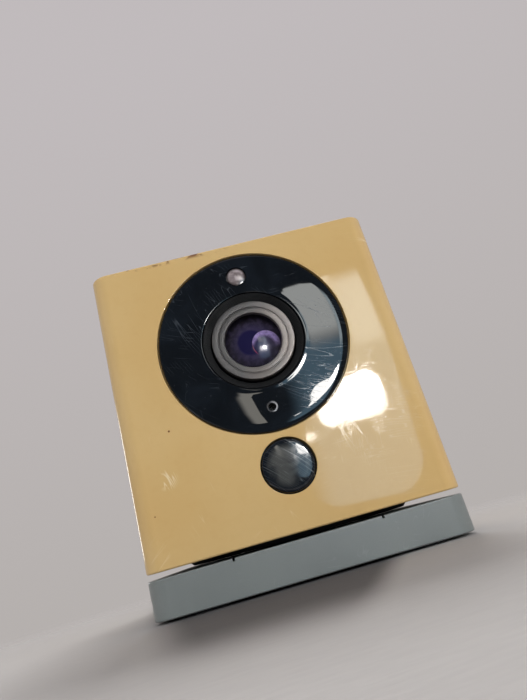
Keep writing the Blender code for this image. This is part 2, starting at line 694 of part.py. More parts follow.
def make_filter():
    """The sliding frame with its two glasses: infrared-blocking by day, clear by night."""
    back, front = SLIDER_REACH
    middle = -FILTER_TRAVEL / 2.0
    slider = box("filter_slider", (middle - 6.6, -front, LENS_Z - 4.3),
                 (middle + 6.6, -back, LENS_Z + 4.3), DARK)
    glasses = []
    for name, side, material in (("infrared_filter", 1, RED_GLASS), ("clear_filter", -1, GLASS)):
        x = middle + side * FILTER_TRAVEL / 2.0
        hole = box(name + "_seat", (x - 2.8, -front - 1.0, LENS_Z - 2.8),
                   (x + 2.8, -back + 1.0, LENS_Z + 2.8), cutter=True)
        cut(slider, hole)
        glasses.append(box(name, (x - 2.6, -front + 0.2, LENS_Z - 2.6),
                           (x + 2.6, -back - 0.2, LENS_Z + 2.6), material))
    return slider, *glasses


def make_sensor():
    turned("filter_coil", [(0.0, 4.5), (3.0, 4.5), (3.0, 3.7), (2.2, 3.7), (2.2, -3.7), (3.0, -3.7),
                           (3.0, -4.5), (0.0, -4.5)],
           (0.0, -10.6, LENS_Z + 10.2), "side", BRASS, SMALL_ROUND)
    box("image_sensor", (-3.5, -8.9, LENS_Z - 3.0), (3.5, -HOLDER_BACK, LENS_Z + 3.0), CHIP)
    box("sensor_board", (-14.0, -7.3, LENS_Z - 12.0), (14.0, -6.1, LENS_Z + 12.0), BOARD)


def make_sensor_cable():
    """A flat flexible cable from the sensor board back to the main board."""
    route = [(-5.7, 36.0), (-5.7, 34.0), (-5.0, 32.6), (-3.6, 32.0), (-1.4, 32.0), (-0.1, 32.6),
             (0.4, 34.0), (0.4, 36.0)]
    low_x, high_x = -15.5, -10.5
    model = bmesh.new()
    rows = [[model.verts.new((x * MM, y * MM, z * MM)) for x in (low_x, high_x)] for y, z in route]
    for near, far in zip(rows, rows[1:]):
        model.faces.new((near[0], near[1], far[1], far[0]))
    cable = place("sensor_cable", mesh_from("sensor_cable", model), FLEX, (0.0, 0.0, 0.0))
    sheet = cable.modifiers.new("thickness", "SOLIDIFY")
    sheet.thickness = 0.2 * MM
    sheet.offset = 0.0
    return cable


# ---------------------------------------------------------------------------------------------
# Head: front electronics
# ---------------------------------------------------------------------------------------------

def make_front_electronics():
    reach = LED_BOARD_REACH
    lens_axis("led_board", [(16.0, reach), (16.0, reach - 1.0), (9.9, reach - 1.0), (9.9, reach)],
              BOARD)
    chip_back, chip_front = -reach - 0.3, -reach - 1.4
    for i in range(4):
        angle = math.radians(45.0 + 90.0 * i)
        x, z = LED_CIRCLE * math.cos(angle), LENS_Z + LED_CIRCLE * math.sin(angle)
        led = box(f"infrared_led_{i + 1}", (x - 1.5, chip_front, z - 1.5), (x + 1.5, chip_back, z + 1.5),
                  CLEAR, edge=0.15)
        bulb = turned(f"led_bulb_{i + 1}", dome(1.1, 0.0, 0.5, 3) + [(1.1, -0.5), (0.0, -0.5)],
                      (x, chip_front, z), "front", steps=16, cutter=True)
        join(led, bulb)
    sensor_z, mic_z = LENS_Z + FEATURE_OFFSET, LENS_Z - FEATURE_OFFSET
    box("light_sensor", (-1.3, -FACE + 2.4, sensor_z - 1.3), (1.3, chip_back, sensor_z + 1.3), CHIP)
    box("microphone", (-1.75, -FACE + 2.6, mic_z - 1.3), (1.75, chip_back, mic_z + 1.3), ALUMINIUM)
    turned("microphone_boot", [(1.9, FACE - 1.4), (1.9, FACE - 2.3), (0.5, FACE - 2.3),
                               (0.5, FACE - 1.4)],
           (0.0, 0.0, mic_z), "front", RUBBER, SMALL_ROUND, ring=True)
    turned("motion_sensor", [(0.0, FACE - 3.3), (3.9, FACE - 3.3), (4.1, FACE - 3.5),
                             (4.1, FACE - 7.0), (4.6, FACE - 7.0), (4.6, FACE - 7.5),
                             (0.0, FACE - 7.5)],
           (0.0, 0.0, MOTION_Z), "front", ALUMINIUM, LENS_ROUND)
    box("motion_board", (-6.0, -FACE + 7.8, MOTION_Z - 5.8), (6.0, -FACE + 8.8, MOTION_Z + 5.6), BOARD)


# ---------------------------------------------------------------------------------------------
# Head: main electronics
# ---------------------------------------------------------------------------------------------

def make_inner_frame():
    """A chassis that slides up into the casing: floor, two sides and a front wall."""
    half, floor, wall = 22.0, COVER_TOP + FIT, 1.4
    inner = half - wall
    frame = box("inner_frame", (-half, -5.8, floor), (half, 20.5, 50.0), DARK)
    inside = box("frame_inside", (-inner, -4.6, floor + wall), (inner, 22.0, 52.0), cutter=True)
    front_window = box("frame_front_window", (-17.5, -7.0, 29.0), (17.5, -3.0, 46.0), cutter=True)
    side_windows = box("frame_side_windows", (-24.0, 3.0, 20.0), (24.0, 16.0, 40.0), cutter=True)
    washer_room = rod("washer_room", "Z", (0.0, 0.0, 10.0), 7.8, 7.0, steps=32, cutter=True)
    button_room = rod("button_room", "Z", (BUTTON_X, BUTTON_Y, 10.0), 3.3, 6.0, cutter=True)
    pilot_places = [(side * COVER_SCREW_X, COVER_SCREW_Y, 10.0) for side in (-1, 1)]
    pilots = rods("frame_pilots", "Z", pilot_places, 0.95, 6.0, steps=16, cutter=True)
    cut(frame, inside, front_window, side_windows, washer_room, button_room, pilots)
    return frame


def make_heat_sink():
    half, low_z, high_z = 6.5, 24.0, 37.0
    sink = box("heat_sink", (-half, -4.2, low_z), (half, -0.8, high_z), ALUMINIUM)
    fins, pitch = 4, 2.6
    for i in range(fins):
        x = (i - (fins - 1) / 2.0) * pitch
        cut(sink, box(f"fin_gap_{i}", (x - 0.75, -5.0, low_z - 1.0), (x + 0.75, -2.0, high_z + 1.0),
                      cutter=True))
    return sink


def socket(name, low, high, wall, mouth_depth, tongue):
    """A metal socket open to the rear, with a contact tongue in it."""
    shell = box(name, low, high, STEEL)
    mouth = box(name + "_mouth", (low[0] + wall, high[1] - mouth_depth, low[2] + wall),
                (high[0] - wall, high[1] + OVER, high[2] - wall), cutter=True)
    middle_x, middle_z = (low[0] + high[0]) / 2.0, (low[2] + high[2]) / 2.0
    half_x, half_z = tongue
    blade = box(name + "_tongue", (middle_x - half_x, low[1] + 0.6, middle_z - half_z),
                (middle_x + half_x, high[1] - 0.8, middle_z + half_z), cutter=True)
    cut(shell, mouth)
    join(shell, blade)
    return shell


def make_card_socket():
    card = box("card_socket", CARD_LOW, CARD_HIGH, STEEL)
    slot = box("card_slot", (-CARD_SLOT_HALF, CARD_LOW[1] + 1.5, CARD_SLOT_LOW),
               (CARD_SLOT_HALF, CARD_HIGH[1] + OVER, CARD_SLOT_HIGH), cutter=True)
    return cut(card, slot)


def make_main_electronics():
    back = MAIN_BOARD_Y + 1.2
    box("main_board", (-19.5, MAIN_BOARD_Y, 16.5), (19.5, back, 49.5), BOARD)
    box("processor", (-5.5, MAIN_BOARD_Y - 1.5, 25.0), (5.5, MAIN_BOARD_Y - 0.3, 36.0), CHIP)
    make_heat_sink()
    box("wifi_module", (4.0, back + 0.3, 36.0), (16.0, back + 2.4, 48.0), STEEL, edge=0.2)
    box("antenna", (-20.3, 5.0, 26.0), (-19.9, 17.0, 46.0), FLEX)
    box("port_board", (-20.0, 8.5, PORT_BOARD_TOP - 1.2), (20.2, 21.3, PORT_BOARD_TOP), BOARD)
    socket("usb_socket", USB_LOW, USB_HIGH, 0.4, 8.0, (5.5, 0.9))
    socket("power_socket", POWER_LOW, POWER_HIGH, 0.35, 4.7, (2.6, 0.35))
    make_card_socket()
    box("setup_switch", (BUTTON_X - 2.2, BUTTON_Y - 2.2, SWITCH_BOTTOM),
        (BUTTON_X + 2.2, BUTTON_Y + 2.2, SWITCH_BOTTOM + 1.1), CHIP, edge=0.15)


def make_speaker():
    turned("speaker", [(0.0, -16.2), (6.0, -16.2), (6.0, -17.6), (10.0, -17.6), (10.0, -20.6),
                       (8.8, -20.6), (7.6, -19.8), (3.0, -19.4), (2.4, -19.9), (0.0, -20.2)],
           (0.0, 0.0, SPEAKER_Z), "front", DARK, LENS_ROUND)
    turned("speaker_gasket", [(10.0, -20.9), (10.0, -21.4), (8.8, -21.4), (8.8, -20.9)],
           (0.0, 0.0, SPEAKER_Z), "front", FOAM, LENS_ROUND, ring=True)
    rod("status_light", "Y", (STATUS_X, (17.0 + 24.6) / 2.0, STATUS_Z), STATUS_RADIUS, 24.6 - 17.0,
        CLEAR, steps=20)


def make_setup_button():
    flange_low = COVER_TOP + FIT
    stem_top = SWITCH_BOTTOM - BUTTON_TRAVEL - FIT
    flange_radius, flange_high = 2.9, flange_low + 0.6
    profile = [(0.0, stem_top), (1.2, stem_top), (1.2, flange_high), (flange_radius, flange_high),
               (flange_radius, flange_low), (BUTTON_RADIUS, flange_low),
               (BUTTON_RADIUS, COVER_BOTTOM - 0.4), (BUTTON_RADIUS - 0.2, COVER_BOTTOM - 0.6),
               (0.0, COVER_BOTTOM - 0.5)]
    profile = [(r, h - COVER_BOTTOM) for r, h in profile]
    return turned("setup_button", profile, (BUTTON_X, BUTTON_Y, COVER_BOTTOM), "up", DARK, SMALL_ROUND)


# ---------------------------------------------------------------------------------------------
# Assembly
# ---------------------------------------------------------------------------------------------

def build():
    make_foot_plate()
    make_foot_fittings()

    foot_axis = joint_axis("foot_hinge_axis", (0.0, -HINGE_Y, HINGE_HEIGHT))
    attach(foot_axis, *make_arm())

    head_axis = joint_axis("head_hinge_axis", (0.0, HINGE_Y, HINGE_HEIGHT), foot_axis)
    attach(head_axis, make_turntable(), *make_swivel_fittings())

    make_casing()
    make_rear_panel()
    make_bottom_cover()
    for number, side in ((1, -1), (2, 1)):
        machine_screw(f"cover_screw_{number}", (side * COVER_SCREW_X, COVER_SCREW_Y),
                      COVER_BOTTOM + 0.8, 1.8, 0.7, 0.75, 3.0, head_up=False)

    make_front_disc()
    make_windows()
    make_lens_fronts()
    make_lens_barrel()
    make_lenses()
    make_lens_holder()
    make_sensor()
    make_sensor_cable()
    make_front_electronics()
    make_inner_frame()
    make_main_electronics()
    make_speaker()

    filter_axis = joint_axis("filter_shift_axis", (0.0, -10.4, LENS_Z))
    attach(filter_axis, *make_filter())
    button_axis = joint_axis("setup_button_axis", (BUTTON_X, BUTTON_Y, COVER_BOTTOM))
    attach(button_axis, make_setup_button())


build()
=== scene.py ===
"""Looks of the cube security camera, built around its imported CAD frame.

The camera stands upright on its folded stand: +Z is up and the lens looks along -Y. Lengths in this
file are millimetres, and the helpers turn them into metres. Heights in the profiles of the turned
front pieces are distances in front of the camera's middle, so the face has the height FACE.
"""

import json
import math
from functools import reduce

import bmesh
import bpy
from mathutils import Matrix, Vector


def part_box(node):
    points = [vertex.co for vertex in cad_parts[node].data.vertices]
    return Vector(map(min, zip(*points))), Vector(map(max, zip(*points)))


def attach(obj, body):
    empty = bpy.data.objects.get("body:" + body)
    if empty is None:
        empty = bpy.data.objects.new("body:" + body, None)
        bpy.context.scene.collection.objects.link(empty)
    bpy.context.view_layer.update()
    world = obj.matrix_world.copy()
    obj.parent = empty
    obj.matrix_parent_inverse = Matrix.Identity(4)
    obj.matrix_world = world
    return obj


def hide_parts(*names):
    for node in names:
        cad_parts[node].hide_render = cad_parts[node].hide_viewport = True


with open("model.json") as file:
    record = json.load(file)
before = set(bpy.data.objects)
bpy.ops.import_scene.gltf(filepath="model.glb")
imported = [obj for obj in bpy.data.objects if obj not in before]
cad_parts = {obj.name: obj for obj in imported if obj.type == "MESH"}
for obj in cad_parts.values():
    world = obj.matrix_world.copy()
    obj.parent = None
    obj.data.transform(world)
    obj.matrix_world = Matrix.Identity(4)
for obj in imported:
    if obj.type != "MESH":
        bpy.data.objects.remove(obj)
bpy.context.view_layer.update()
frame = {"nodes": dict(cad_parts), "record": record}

MM = 0.001


# ======== Sizes, from the frame where it has them ========

class Box:
    """The box of a CAD node in millimetres: low and high corner, middle and size."""

    def __init__(self, node):
        low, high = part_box(node)
        self.low, self.high = low / MM, high / MM
        self.middle = (self.low + self.high) / 2.0
        self.size = self.high - self.low


CASING = Box("casing")
DISC = Box("front_disc")
FOOT = Box("foot_plate")
ARM = Box("stand_arm")

HALF = CASING.high.x
FACE = -CASING.low.y
WALL = 2.0
SIDE_RADIUS = 3.0
TOP_RADIUS = 0.45
LOWER_RADIUS = 0.3
GROOVE = 0.22
LENS_Z = DISC.middle.z
DISC_RADIUS = DISC.size.x / 2.0
RING_RADIUS = Box("lens_ring").size.x / 2.0
LIGHT_Z = Box("light_window").middle.z
MICROPHONE_Z = 2.0 * LENS_Z - LIGHT_Z
MOTION_Z = Box("motion_window").middle.z
LENS_AXIS = (0.0, 0.0, LENS_Z)
LIGHT_AXIS = (0.0, 0.0, LIGHT_Z)
MICROPHONE_AXIS = (0.0, 0.0, MICROPHONE_Z)
MOTION_AXIS = (0.0, 0.0, MOTION_Z)
MOTION_RADIUS = 4.2
DISC_SEAT = 1.3
LENS_OPENING = 14.6
PLATE_HOLE = 8.65
CROWN_WIDTH = 1.6
TRIM_INNER = 4.75
LENS_RADIUS = 5.35
LENS_RISE = 0.87
PANEL_HALF = 17.7
PANEL_LOW = 11.3
PANEL_HIGH = 52.7
PANEL_GAP = 0.3
PANEL_BACK = FACE - 0.3
PANEL_FLANGE = 1.3
PORT_GAP = 0.3
GRILLE_PITCH = 3.4
NOTCH_X = 11.6
FOOT_WEB = 0.85
FOOT_GROOVE_Y = 20.3
TREAD_PITCH = 2.2
SHARP_ANGLE = 50.0


# ======== Materials ========

class Look:
    """A Principled material whose sockets are fed by procedural textures, in millimetres."""

    def __init__(self, name):
        self.material = bpy.data.materials.new(name)
        self.material.use_nodes = True
        self.tree = self.material.node_tree
        self.shader = self.tree.nodes["Principled BSDF"]
        source = self.tree.nodes.new("ShaderNodeTexCoord").outputs["Object"]
        self.place = self.vector("SCALE", source, scale=1.0 / MM)

    def feed(self, socket, value):
        """Give an input socket either a plain value or another node's output."""
        if isinstance(value, bpy.types.NodeSocket):
            self.tree.links.new(value, socket)
        elif socket.type == "RGBA" and len(value) == 3:
            socket.default_value = (*value, 1.0)
        else:
            socket.default_value = value

    def node(self, kind, **sockets):
        """Add a node and feed its sockets by name, with underscores for spaces."""
        node = self.tree.nodes.new("ShaderNode" + kind)
        for name, value in sockets.items():
            self.feed(node.inputs[name.replace("_", " ")], value)
        return node

    def set(self, **sockets):
        """Feed the shader's sockets by name, with underscores for spaces."""
        for name, value in sockets.items():
            self.feed(self.shader.inputs[name.replace("_", " ")], value)

    def math(self, operation, *values):
        node = self.node("Math")
        node.operation = operation
        for socket, value in zip(node.inputs, values):
            self.feed(socket, value)
        return node.outputs[0]

    def times(self, *values):
        return reduce(lambda a, b: self.math("MULTIPLY", a, b), values)

    def plus(self, *values):
        return reduce(lambda a, b: self.math("ADD", a, b), values)

    def most(self, *values):
        """The largest of several values."""
        return reduce(lambda a, b: self.math("MAXIMUM", a, b), values)

    def vector(self, operation, *values, scale=None):
        node = self.node("VectorMath")
        node.operation = operation
        for socket, value in zip(node.inputs, values):
            self.feed(socket, value)
        if scale is not None:
            node.inputs["Scale"].default_value = scale
        return node.outputs["Value" if operation in ("LENGTH", "DISTANCE") else "Vector"]

    def turned(self, angles, stretch=(1.0, 1.0, 1.0), shift=(0.0, 0.0, 0.0)):
        """The place shifted, turned by angles in degrees and stretched."""
        node = self.node("Mapping")
        node.vector_type = "TEXTURE"
        turn = [math.radians(angle) for angle in angles]
        for name, value in (("Vector", self.place), ("Rotation", turn), ("Scale", stretch),
                            ("Location", shift)):
            self.feed(node.inputs[name], value)
        return node.outputs[0]

    def axes(self, vector=None):
        """The X, Y and Z of a vector, or of the place."""
        return self.node("SeparateXYZ", Vector=self.place if vector is None else vector).outputs

    def mix(self, factor, a, b):
        """The colour a where the factor is 0, and b where it is 1."""
        node = self.node("Mix", Factor=factor)
        node.data_type = "RGBA"
        self.feed(node.inputs[6], a)
        self.feed(node.inputs[7], b)
        return node.outputs[2]

    def remap(self, value, low, high, new_low=0.0, new_high=1.0, smooth=True):
        """A value stretched from one range to another and held within it."""
        node = self.node("MapRange", Value=value, From_Min=low, From_Max=high, To_Min=new_low,
                         To_Max=new_high)
        node.interpolation_type = "SMOOTHSTEP" if smooth else "LINEAR"
        return node.outputs[0]

    def noise(self, scale, detail=2.0, distortion=0.0, where=None):
        node = self.node("TexNoise", Vector=self.place if where is None else where, Scale=scale,
                         Detail=detail, Distortion=distortion)
        return node.outputs["Fac"]

    def cloud(self, noise, *limits):
        """A noise, given as its scale, detail and distortion, stretched from one range to another."""
        return self.remap(self.noise(*noise), *limits)

    def scratch(self, where, thickness, patch, cover_shift, clear, full):
        """Thin lines where a noise crosses its middle, kept where a broad noise is above clear."""
        line = self.math("ABSOLUTE", self.math("SUBTRACT", self.noise(1.0, 0.0, 0.0, where), 0.5))
        line = self.remap(line, 0.0, 0.75 * thickness, 1.0, 0.0, smooth=False)
        cover = self.noise(patch, 2.0, 0.4, self.turned((0.0, 0.0, 0.0), shift=cover_shift))
        return self.times(line, self.remap(cover, clear, full))

    def hairlines(self, angles, length, width, share, thickness=0.04, patch=0.12, shift=(0.0, 0.0, 0.0)):
        """Fine scratches, 0 to 1, along a turned X axis, about a width apart; share is their cover."""
        where = self.turned(angles, (length, width, width), shift)
        return self.scratch(where, thickness / width, patch, shift, 0.66 - share, 0.74 - share)

    def arcs(self, centre, length, width, share, thickness=0.03, patch=0.15, seed=0.0):
        """Fine scratches, 0 to 1, that run in circles about a centre (x, z) in front of the face."""
        x, _, z = self.axes(self.vector("SUBTRACT", self.place, (centre[0], 0.0, centre[1])))
        where = self.node("CombineXYZ", Z=seed,
                          X=self.times(self.math("ARCTAN2", z, x), 30.0 / length),
                          Y=self.math("DIVIDE", self.radius_about(*centre), width))
        return self.scratch(where.outputs[0], thickness / width, patch, (seed, 0.0, 2.0 * seed),
                            0.66 - share, 0.76 - share)

    def radius_about(self, x, z):
        """Distance from an axis that runs along Y through x and z."""
        flat = self.vector("MULTIPLY", self.vector("SUBTRACT", self.place, (x, 0.0, z)), (1.0, 0.0, 1.0))
        return self.vector("LENGTH", flat)

    def spot(self, centre, radius, softness):
        """1 inside a ball round a centre, 0 outside it."""
        reach = self.vector("DISTANCE", self.place, centre)
        return self.remap(reach, radius - softness, radius + softness, 1.0, 0.0)

    def bump(self, height, distance):
        """Raise the surface by a height, 0 to 1, times a distance in millimetres."""
        node = self.node("Bump", Height=height, Distance=distance * MM)
        earlier = self.shader.inputs["Normal"].links
        if earlier:
            self.feed(node.inputs["Normal"], earlier[0].from_socket)
        self.set(Normal=node.outputs[0])


def grey(level, blue=None):
    """A grey colour, with a blue part of its own if one is given."""
    return level, level, level if blue is None else blue


def casing_look():
    """Glossy plastic, yellowed with age, with hairlines, a dirty top edge and a few specks."""
    look = Look("yellowed_gloss_plastic")
    fresh, aged = (0.612, 0.422, 0.186), (0.586, 0.390, 0.160)
    color = look.mix(look.cloud((0.045, 2.0), 0.35, 0.65), fresh, aged)
    color = look.mix(look.cloud((0.9, 4.0), 0.45, 0.75, 0.0, 0.10), color, (0.52, 0.32, 0.11))
    _, y, z = look.axes()
    near_lamp = look.spot((13.0, -FACE, 22.0), 9.0, 6.0)
    lines = look.most(
        look.arcs((10.0, -30.0), 9.0, 1.1, 0.06, 0.020, 0.10, 4.0),
        look.arcs((70.0, 40.0), 10.0, 1.4, 0.06, 0.020, 0.12, 7.0),
        look.times(near_lamp, look.most(look.arcs((12.0, -26.0), 3.0, 0.45, 0.20, 0.020, 0.30, 2.0),
                                        look.arcs((60.0, 10.0), 4.0, 0.6, 0.14, 0.020, 0.30, 12.0))))
    color = look.mix(look.times(lines, 0.22), color, (0.80, 0.68, 0.46))
    grime = look.times(look.remap(z, CASING.high.z - 1.1, CASING.high.z - 0.3),
                       look.remap(y, 1.2 - FACE, 0.2 - FACE), look.cloud((0.62, 5.0, 0.6), 0.47, 0.56),
                       look.spot((-10.0, -FACE, CASING.high.z), 8.0, 4.0))
    specks = look.most(look.spot((-16.9, -FACE, 27.0), 0.17, 0.05),
                       look.spot((-21.6, -FACE, 14.8), 0.10, 0.04))
    color = look.mix(look.most(grime, specks), color, (0.15, 0.055, 0.02))
    scuff = look.times(look.spot((-18.6, -FACE, 19.6), 1.3, 0.6),
                       look.arcs((-60.0, 8.0), 2.5, 0.5, 0.30, 0.05, 0.9, 3.0))
    color = look.mix(look.times(scuff, 0.6), color, (0.86, 0.76, 0.52))
    rough = look.cloud((0.12, 3.0), 0.3, 0.7, 0.022, 0.045)
    look.set(Base_Color=color, Specular_IOR_Level=0.5, IOR=1.5,
             Roughness=look.plus(rough, look.times(look.most(lines, grime), 0.25)))
    look.bump(look.noise(0.10, 1.0), 0.010)
    look.bump(look.noise(1.1, 1.0), 0.0004)
    look.bump(look.most(lines, scuff), -0.0006)
    return look.material


def front_black_look():
    """Polished black acrylic with long curved wiping scratches, dust and a painted highlight on the
    microphone rim.
    """
    look = Look("polished_black")
    near_lamp = look.spot((8.5, -FACE, 29.5), 6.0, 5.0)
    lines = look.most(
        look.arcs((26.0, 58.0), 13.0, 0.95, 0.17, 0.018, 0.10, 1.0),
        look.arcs((22.0, 66.0), 16.0, 1.3, 0.12, 0.020, 0.13, 5.0),
        look.arcs((-30.0, 30.0), 10.0, 1.1, 0.07, 0.018, 0.15, 9.0),
        look.arcs((4.0, 80.0), 9.0, 1.0, 0.06, 0.018, 0.18, 14.0),
        look.times(near_lamp, look.most(look.arcs((20.0, 50.0), 4.0, 0.55, 0.16, 0.016, 0.30, 3.0),
                                        look.arcs((-6.0, 14.0), 3.5, 0.60, 0.12, 0.016, 0.35, 8.0))))
    dust = look.cloud((2.8, 6.0, 0.2), 0.70, 0.74)
    wiped = look.cloud((0.16, 3.0, 0.8), 0.42, 0.72)
    color = look.mix(look.cloud((0.2, 3.0), 0.3, 0.7), (0.0022, 0.0028, 0.0042),
                     (0.0034, 0.0042, 0.0058))
    color = look.mix(look.times(wiped, 0.5), color, (0.008, 0.011, 0.016))
    color = look.mix(look.times(lines, 0.18), color, (0.14, 0.16, 0.19))
    color = look.mix(look.times(dust, 0.25), color, (0.14, 0.15, 0.17))
    # Painted highlight: a pale crescent on the microphone hole's rim, strongest towards the right.
    hole = look.radius_about(0.0, MICROPHONE_Z)
    wear_and_painted_highlight = look.times(look.remap(hole, 0.63, 0.70), look.remap(hole, 0.78, 0.98, 1.0, 0.0),
                        look.remap(look.axes()[0], -0.35, 0.45, 0.12, 1.0))
    color = look.mix(wear_and_painted_highlight, color, grey(0.48, 0.50))
    rough = look.cloud((0.3, 3.0), 0.3, 0.7, 0.012, 0.024)
    look.set(Base_Color=color, IOR=1.5,
             Roughness=look.plus(rough, look.times(look.most(lines, dust), 0.18)))
    look.bump(look.noise(0.10, 1.0), 0.006)
    look.bump(lines, -0.0004)
    return look.material


def motion_window_look():
    """Dark infrared-clear plastic, worn dull in the middle by fine parallel scratches."""
    look = Look("rubbed_black")
    edge = look.radius_about(0.0, MOTION_Z)
    wear_and_painted_highlight = look.times(look.remap(edge, 2.2, 3.9, 1.0, 0.0),
                        look.cloud((0.32, 3.0, 0.5), 0.32, 0.56, 0.25, 1.0))
    lines = look.most(
        look.arcs((-22.0, -4.0), 16.0, 0.42, 0.34, 0.018, 0.2, 2.0),
        look.arcs((-30.0, -12.0), 12.0, 0.7, 0.22, 0.020, 0.3, 6.0),
        look.arcs((18.0, -8.0), 9.0, 0.9, 0.12, 0.018, 0.3, 11.0))
    color = look.mix(wear_and_painted_highlight, (0.0035, 0.0050, 0.0085), (0.058, 0.059, 0.056))
    color = look.mix(look.times(lines, 0.30), color, (0.17, 0.18, 0.18))
    rough = look.remap(wear_and_painted_highlight, 0.0, 1.0, 0.02, 0.12)
    look.set(Base_Color=color, IOR=1.5, Roughness=look.plus(rough, look.times(lines, 0.2)))
    look.bump(lines, -0.0005)
    return look.material


def light_window_look():
    """Milky pink window with a darker rim, over the light sensor, and a painted highlight below and right
    of its middle.
    """
    look = Look("milky_window")
    reach = look.radius_about(0.0, LIGHT_Z)
    cloud = look.cloud((0.9, 3.0, 0.6), 0.35, 0.65)
    color = look.mix(cloud, (0.155, 0.125, 0.125), (0.360, 0.305, 0.310))
    color = look.mix(look.remap(reach, 1.15, 1.60), color, (0.050, 0.040, 0.040))
    # Painted highlight: a pale spot below and right of the window's middle.
    painted_window_highlight = look.remap(look.radius_about(0.45, LIGHT_Z - 0.35), 0.15, 0.75, 1.0, 0.0)
    color = look.mix(look.times(painted_window_highlight, 0.7), color, (0.62, 0.54, 0.53))
    look.set(Base_Color=color, IOR=1.49, Roughness=look.remap(cloud, 0.0, 1.0, 0.06, 0.14))
    look.bump(look.noise(1.6, 2.0), 0.004)
    return look.material


def coated_element_look():
    """Element behind the front glass: near black, violet in the middle, with painted lilac and red
    reflections.
    """
    look = Look("coated_element")
    reach = look.radius_about(0.0, LENS_Z)
    pupil = look.remap(look.radius_about(-0.45, LENS_Z + 0.05), 1.95, 2.55, 1.0, 0.0)
    grain = look.noise(1.3, 3.0)
    color = look.mix(look.remap(reach, 2.0, 4.4), (0.034, 0.027, 0.060), (0.016, 0.014, 0.018))
    color = look.mix(look.remap(grain, 0.35, 0.7, 0.0, 0.5), color, (0.048, 0.040, 0.070))
    color = look.mix(pupil, color, (0.010, 0.008, 0.040))
    # Painted reflection: a lilac crescent above and right of the pupil.
    flare = look.radius_about(2.05, LENS_Z - 0.75)
    inner = look.radius_about(1.75, LENS_Z - 1.10)
    x, _, z = look.axes()
    upper = look.remap(look.plus(z, look.times(x, 0.15)), LENS_Z - 1.3, LENS_Z + 0.3)
    painted_reflection_arc = look.times(look.remap(inner, 1.45, 2.25), look.remap(flare, 2.34, 2.46, 1.0, 0.0),
                     look.cloud((2.4, 4.0), 0.3, 0.65, 0.55, 1.0), look.remap(x, 3.4, 4.6, 1.0, 0.35))
    color = look.mix(look.times(painted_reflection_arc, look.times(upper, 0.90)), color, (0.33, 0.25, 0.47))
    # Painted reflection: a red edge on the lower left of the lilac crescent.
    from_rim = look.math("ABSOLUTE", look.math("SUBTRACT", flare, 2.36))
    lower_left = look.times(look.remap(x, -0.1, 0.4, 1.0, 0.0),
                            look.remap(z, LENS_Z - 1.6, LENS_Z - 0.1, 1.0, 0.0))
    red = look.times(look.remap(from_rim, 0.0, 0.12, 1.0, 0.0), lower_left)
    color = look.mix(look.times(red, 0.7), color, (0.34, 0.05, 0.10))
    look.set(Base_Color=color, IOR=1.45, Roughness=look.remap(grain, 0.3, 0.7, 0.10, 0.16),
             Specular_IOR_Level=0.25, Coat_Weight=0.22, Coat_Roughness=0.025, Coat_Tint=(0.7, 0.55, 1.0))
    look.bump(grain, 0.001)
    return look.material


def moulded_look(name, light, dark, rough, grain=0.006, grain_scale=7.0, sheen=0.0, gloss=0.5):
    """Moulded plastic with a fine texture, faint flow marks, worn spots and dust."""
    look = Look(name)
    color = look.mix(look.cloud((0.08, 3.0, 0.3), 0.3, 0.7), light, dark)
    fine = look.noise(grain_scale, 3.0)
    color = look.mix(look.remap(fine, 0.35, 0.75, 0.0, 0.25), color, tuple(0.8 * c for c in dark))
    lines = look.most(look.hairlines((0.0, 12.0, 4.0), 12.0, 1.2, 0.08, 0.04, 0.16),
                      look.hairlines((20.0, -50.0, 30.0), 9.0, 1.0, 0.06, 0.04, 0.2, (9.0, 4.0, 2.0)))
    color = look.mix(look.times(lines, 0.3), color, tuple(min(1.0, 1.5 * c) for c in light))
    worn = look.cloud((0.25, 4.0), 0.35, 0.70, -0.08, 0.06)
    look.set(Base_Color=color, IOR=1.48, Specular_IOR_Level=gloss, Sheen_Weight=sheen,
             Roughness=look.plus(worn, rough, look.times(lines, 0.2)))
    look.bump(fine, grain)
    look.bump(look.noise(0.3, 2.0), 0.01)
    return look.material


def metal_look(name, light, dark, rough, grain=0.002, angles=(0.0, 0.0, 0.0)):
    """Metal with a drawn or brushed grain along one direction, small scratches and dull patches."""
    look = Look(name)
    grain_field = look.noise(9.0, 3.0, 0.0, look.turned(angles, (12.0, 1.0, 1.0)))
    color = look.mix(look.remap(grain_field, 0.3, 0.7), dark, light)
    patches = look.cloud((0.5, 4.0), 0.4, 0.7)
    lines = look.hairlines((0.0, 30.0, 40.0), 6.0, 0.6, 0.12, 0.03, 0.4)
    color = look.mix(look.times(patches, 0.25), color, tuple(0.6 * c for c in dark))
    look.set(Base_Color=color, Metallic=1.0,
             Roughness=look.plus(look.remap(grain_field, 0.3, 0.7, -0.05, 0.07),
                                 look.times(patches, 0.10), rough, look.times(lines, 0.2)))
    look.bump(grain_field, grain)
    look.bump(lines, -0.002)
    return look.material


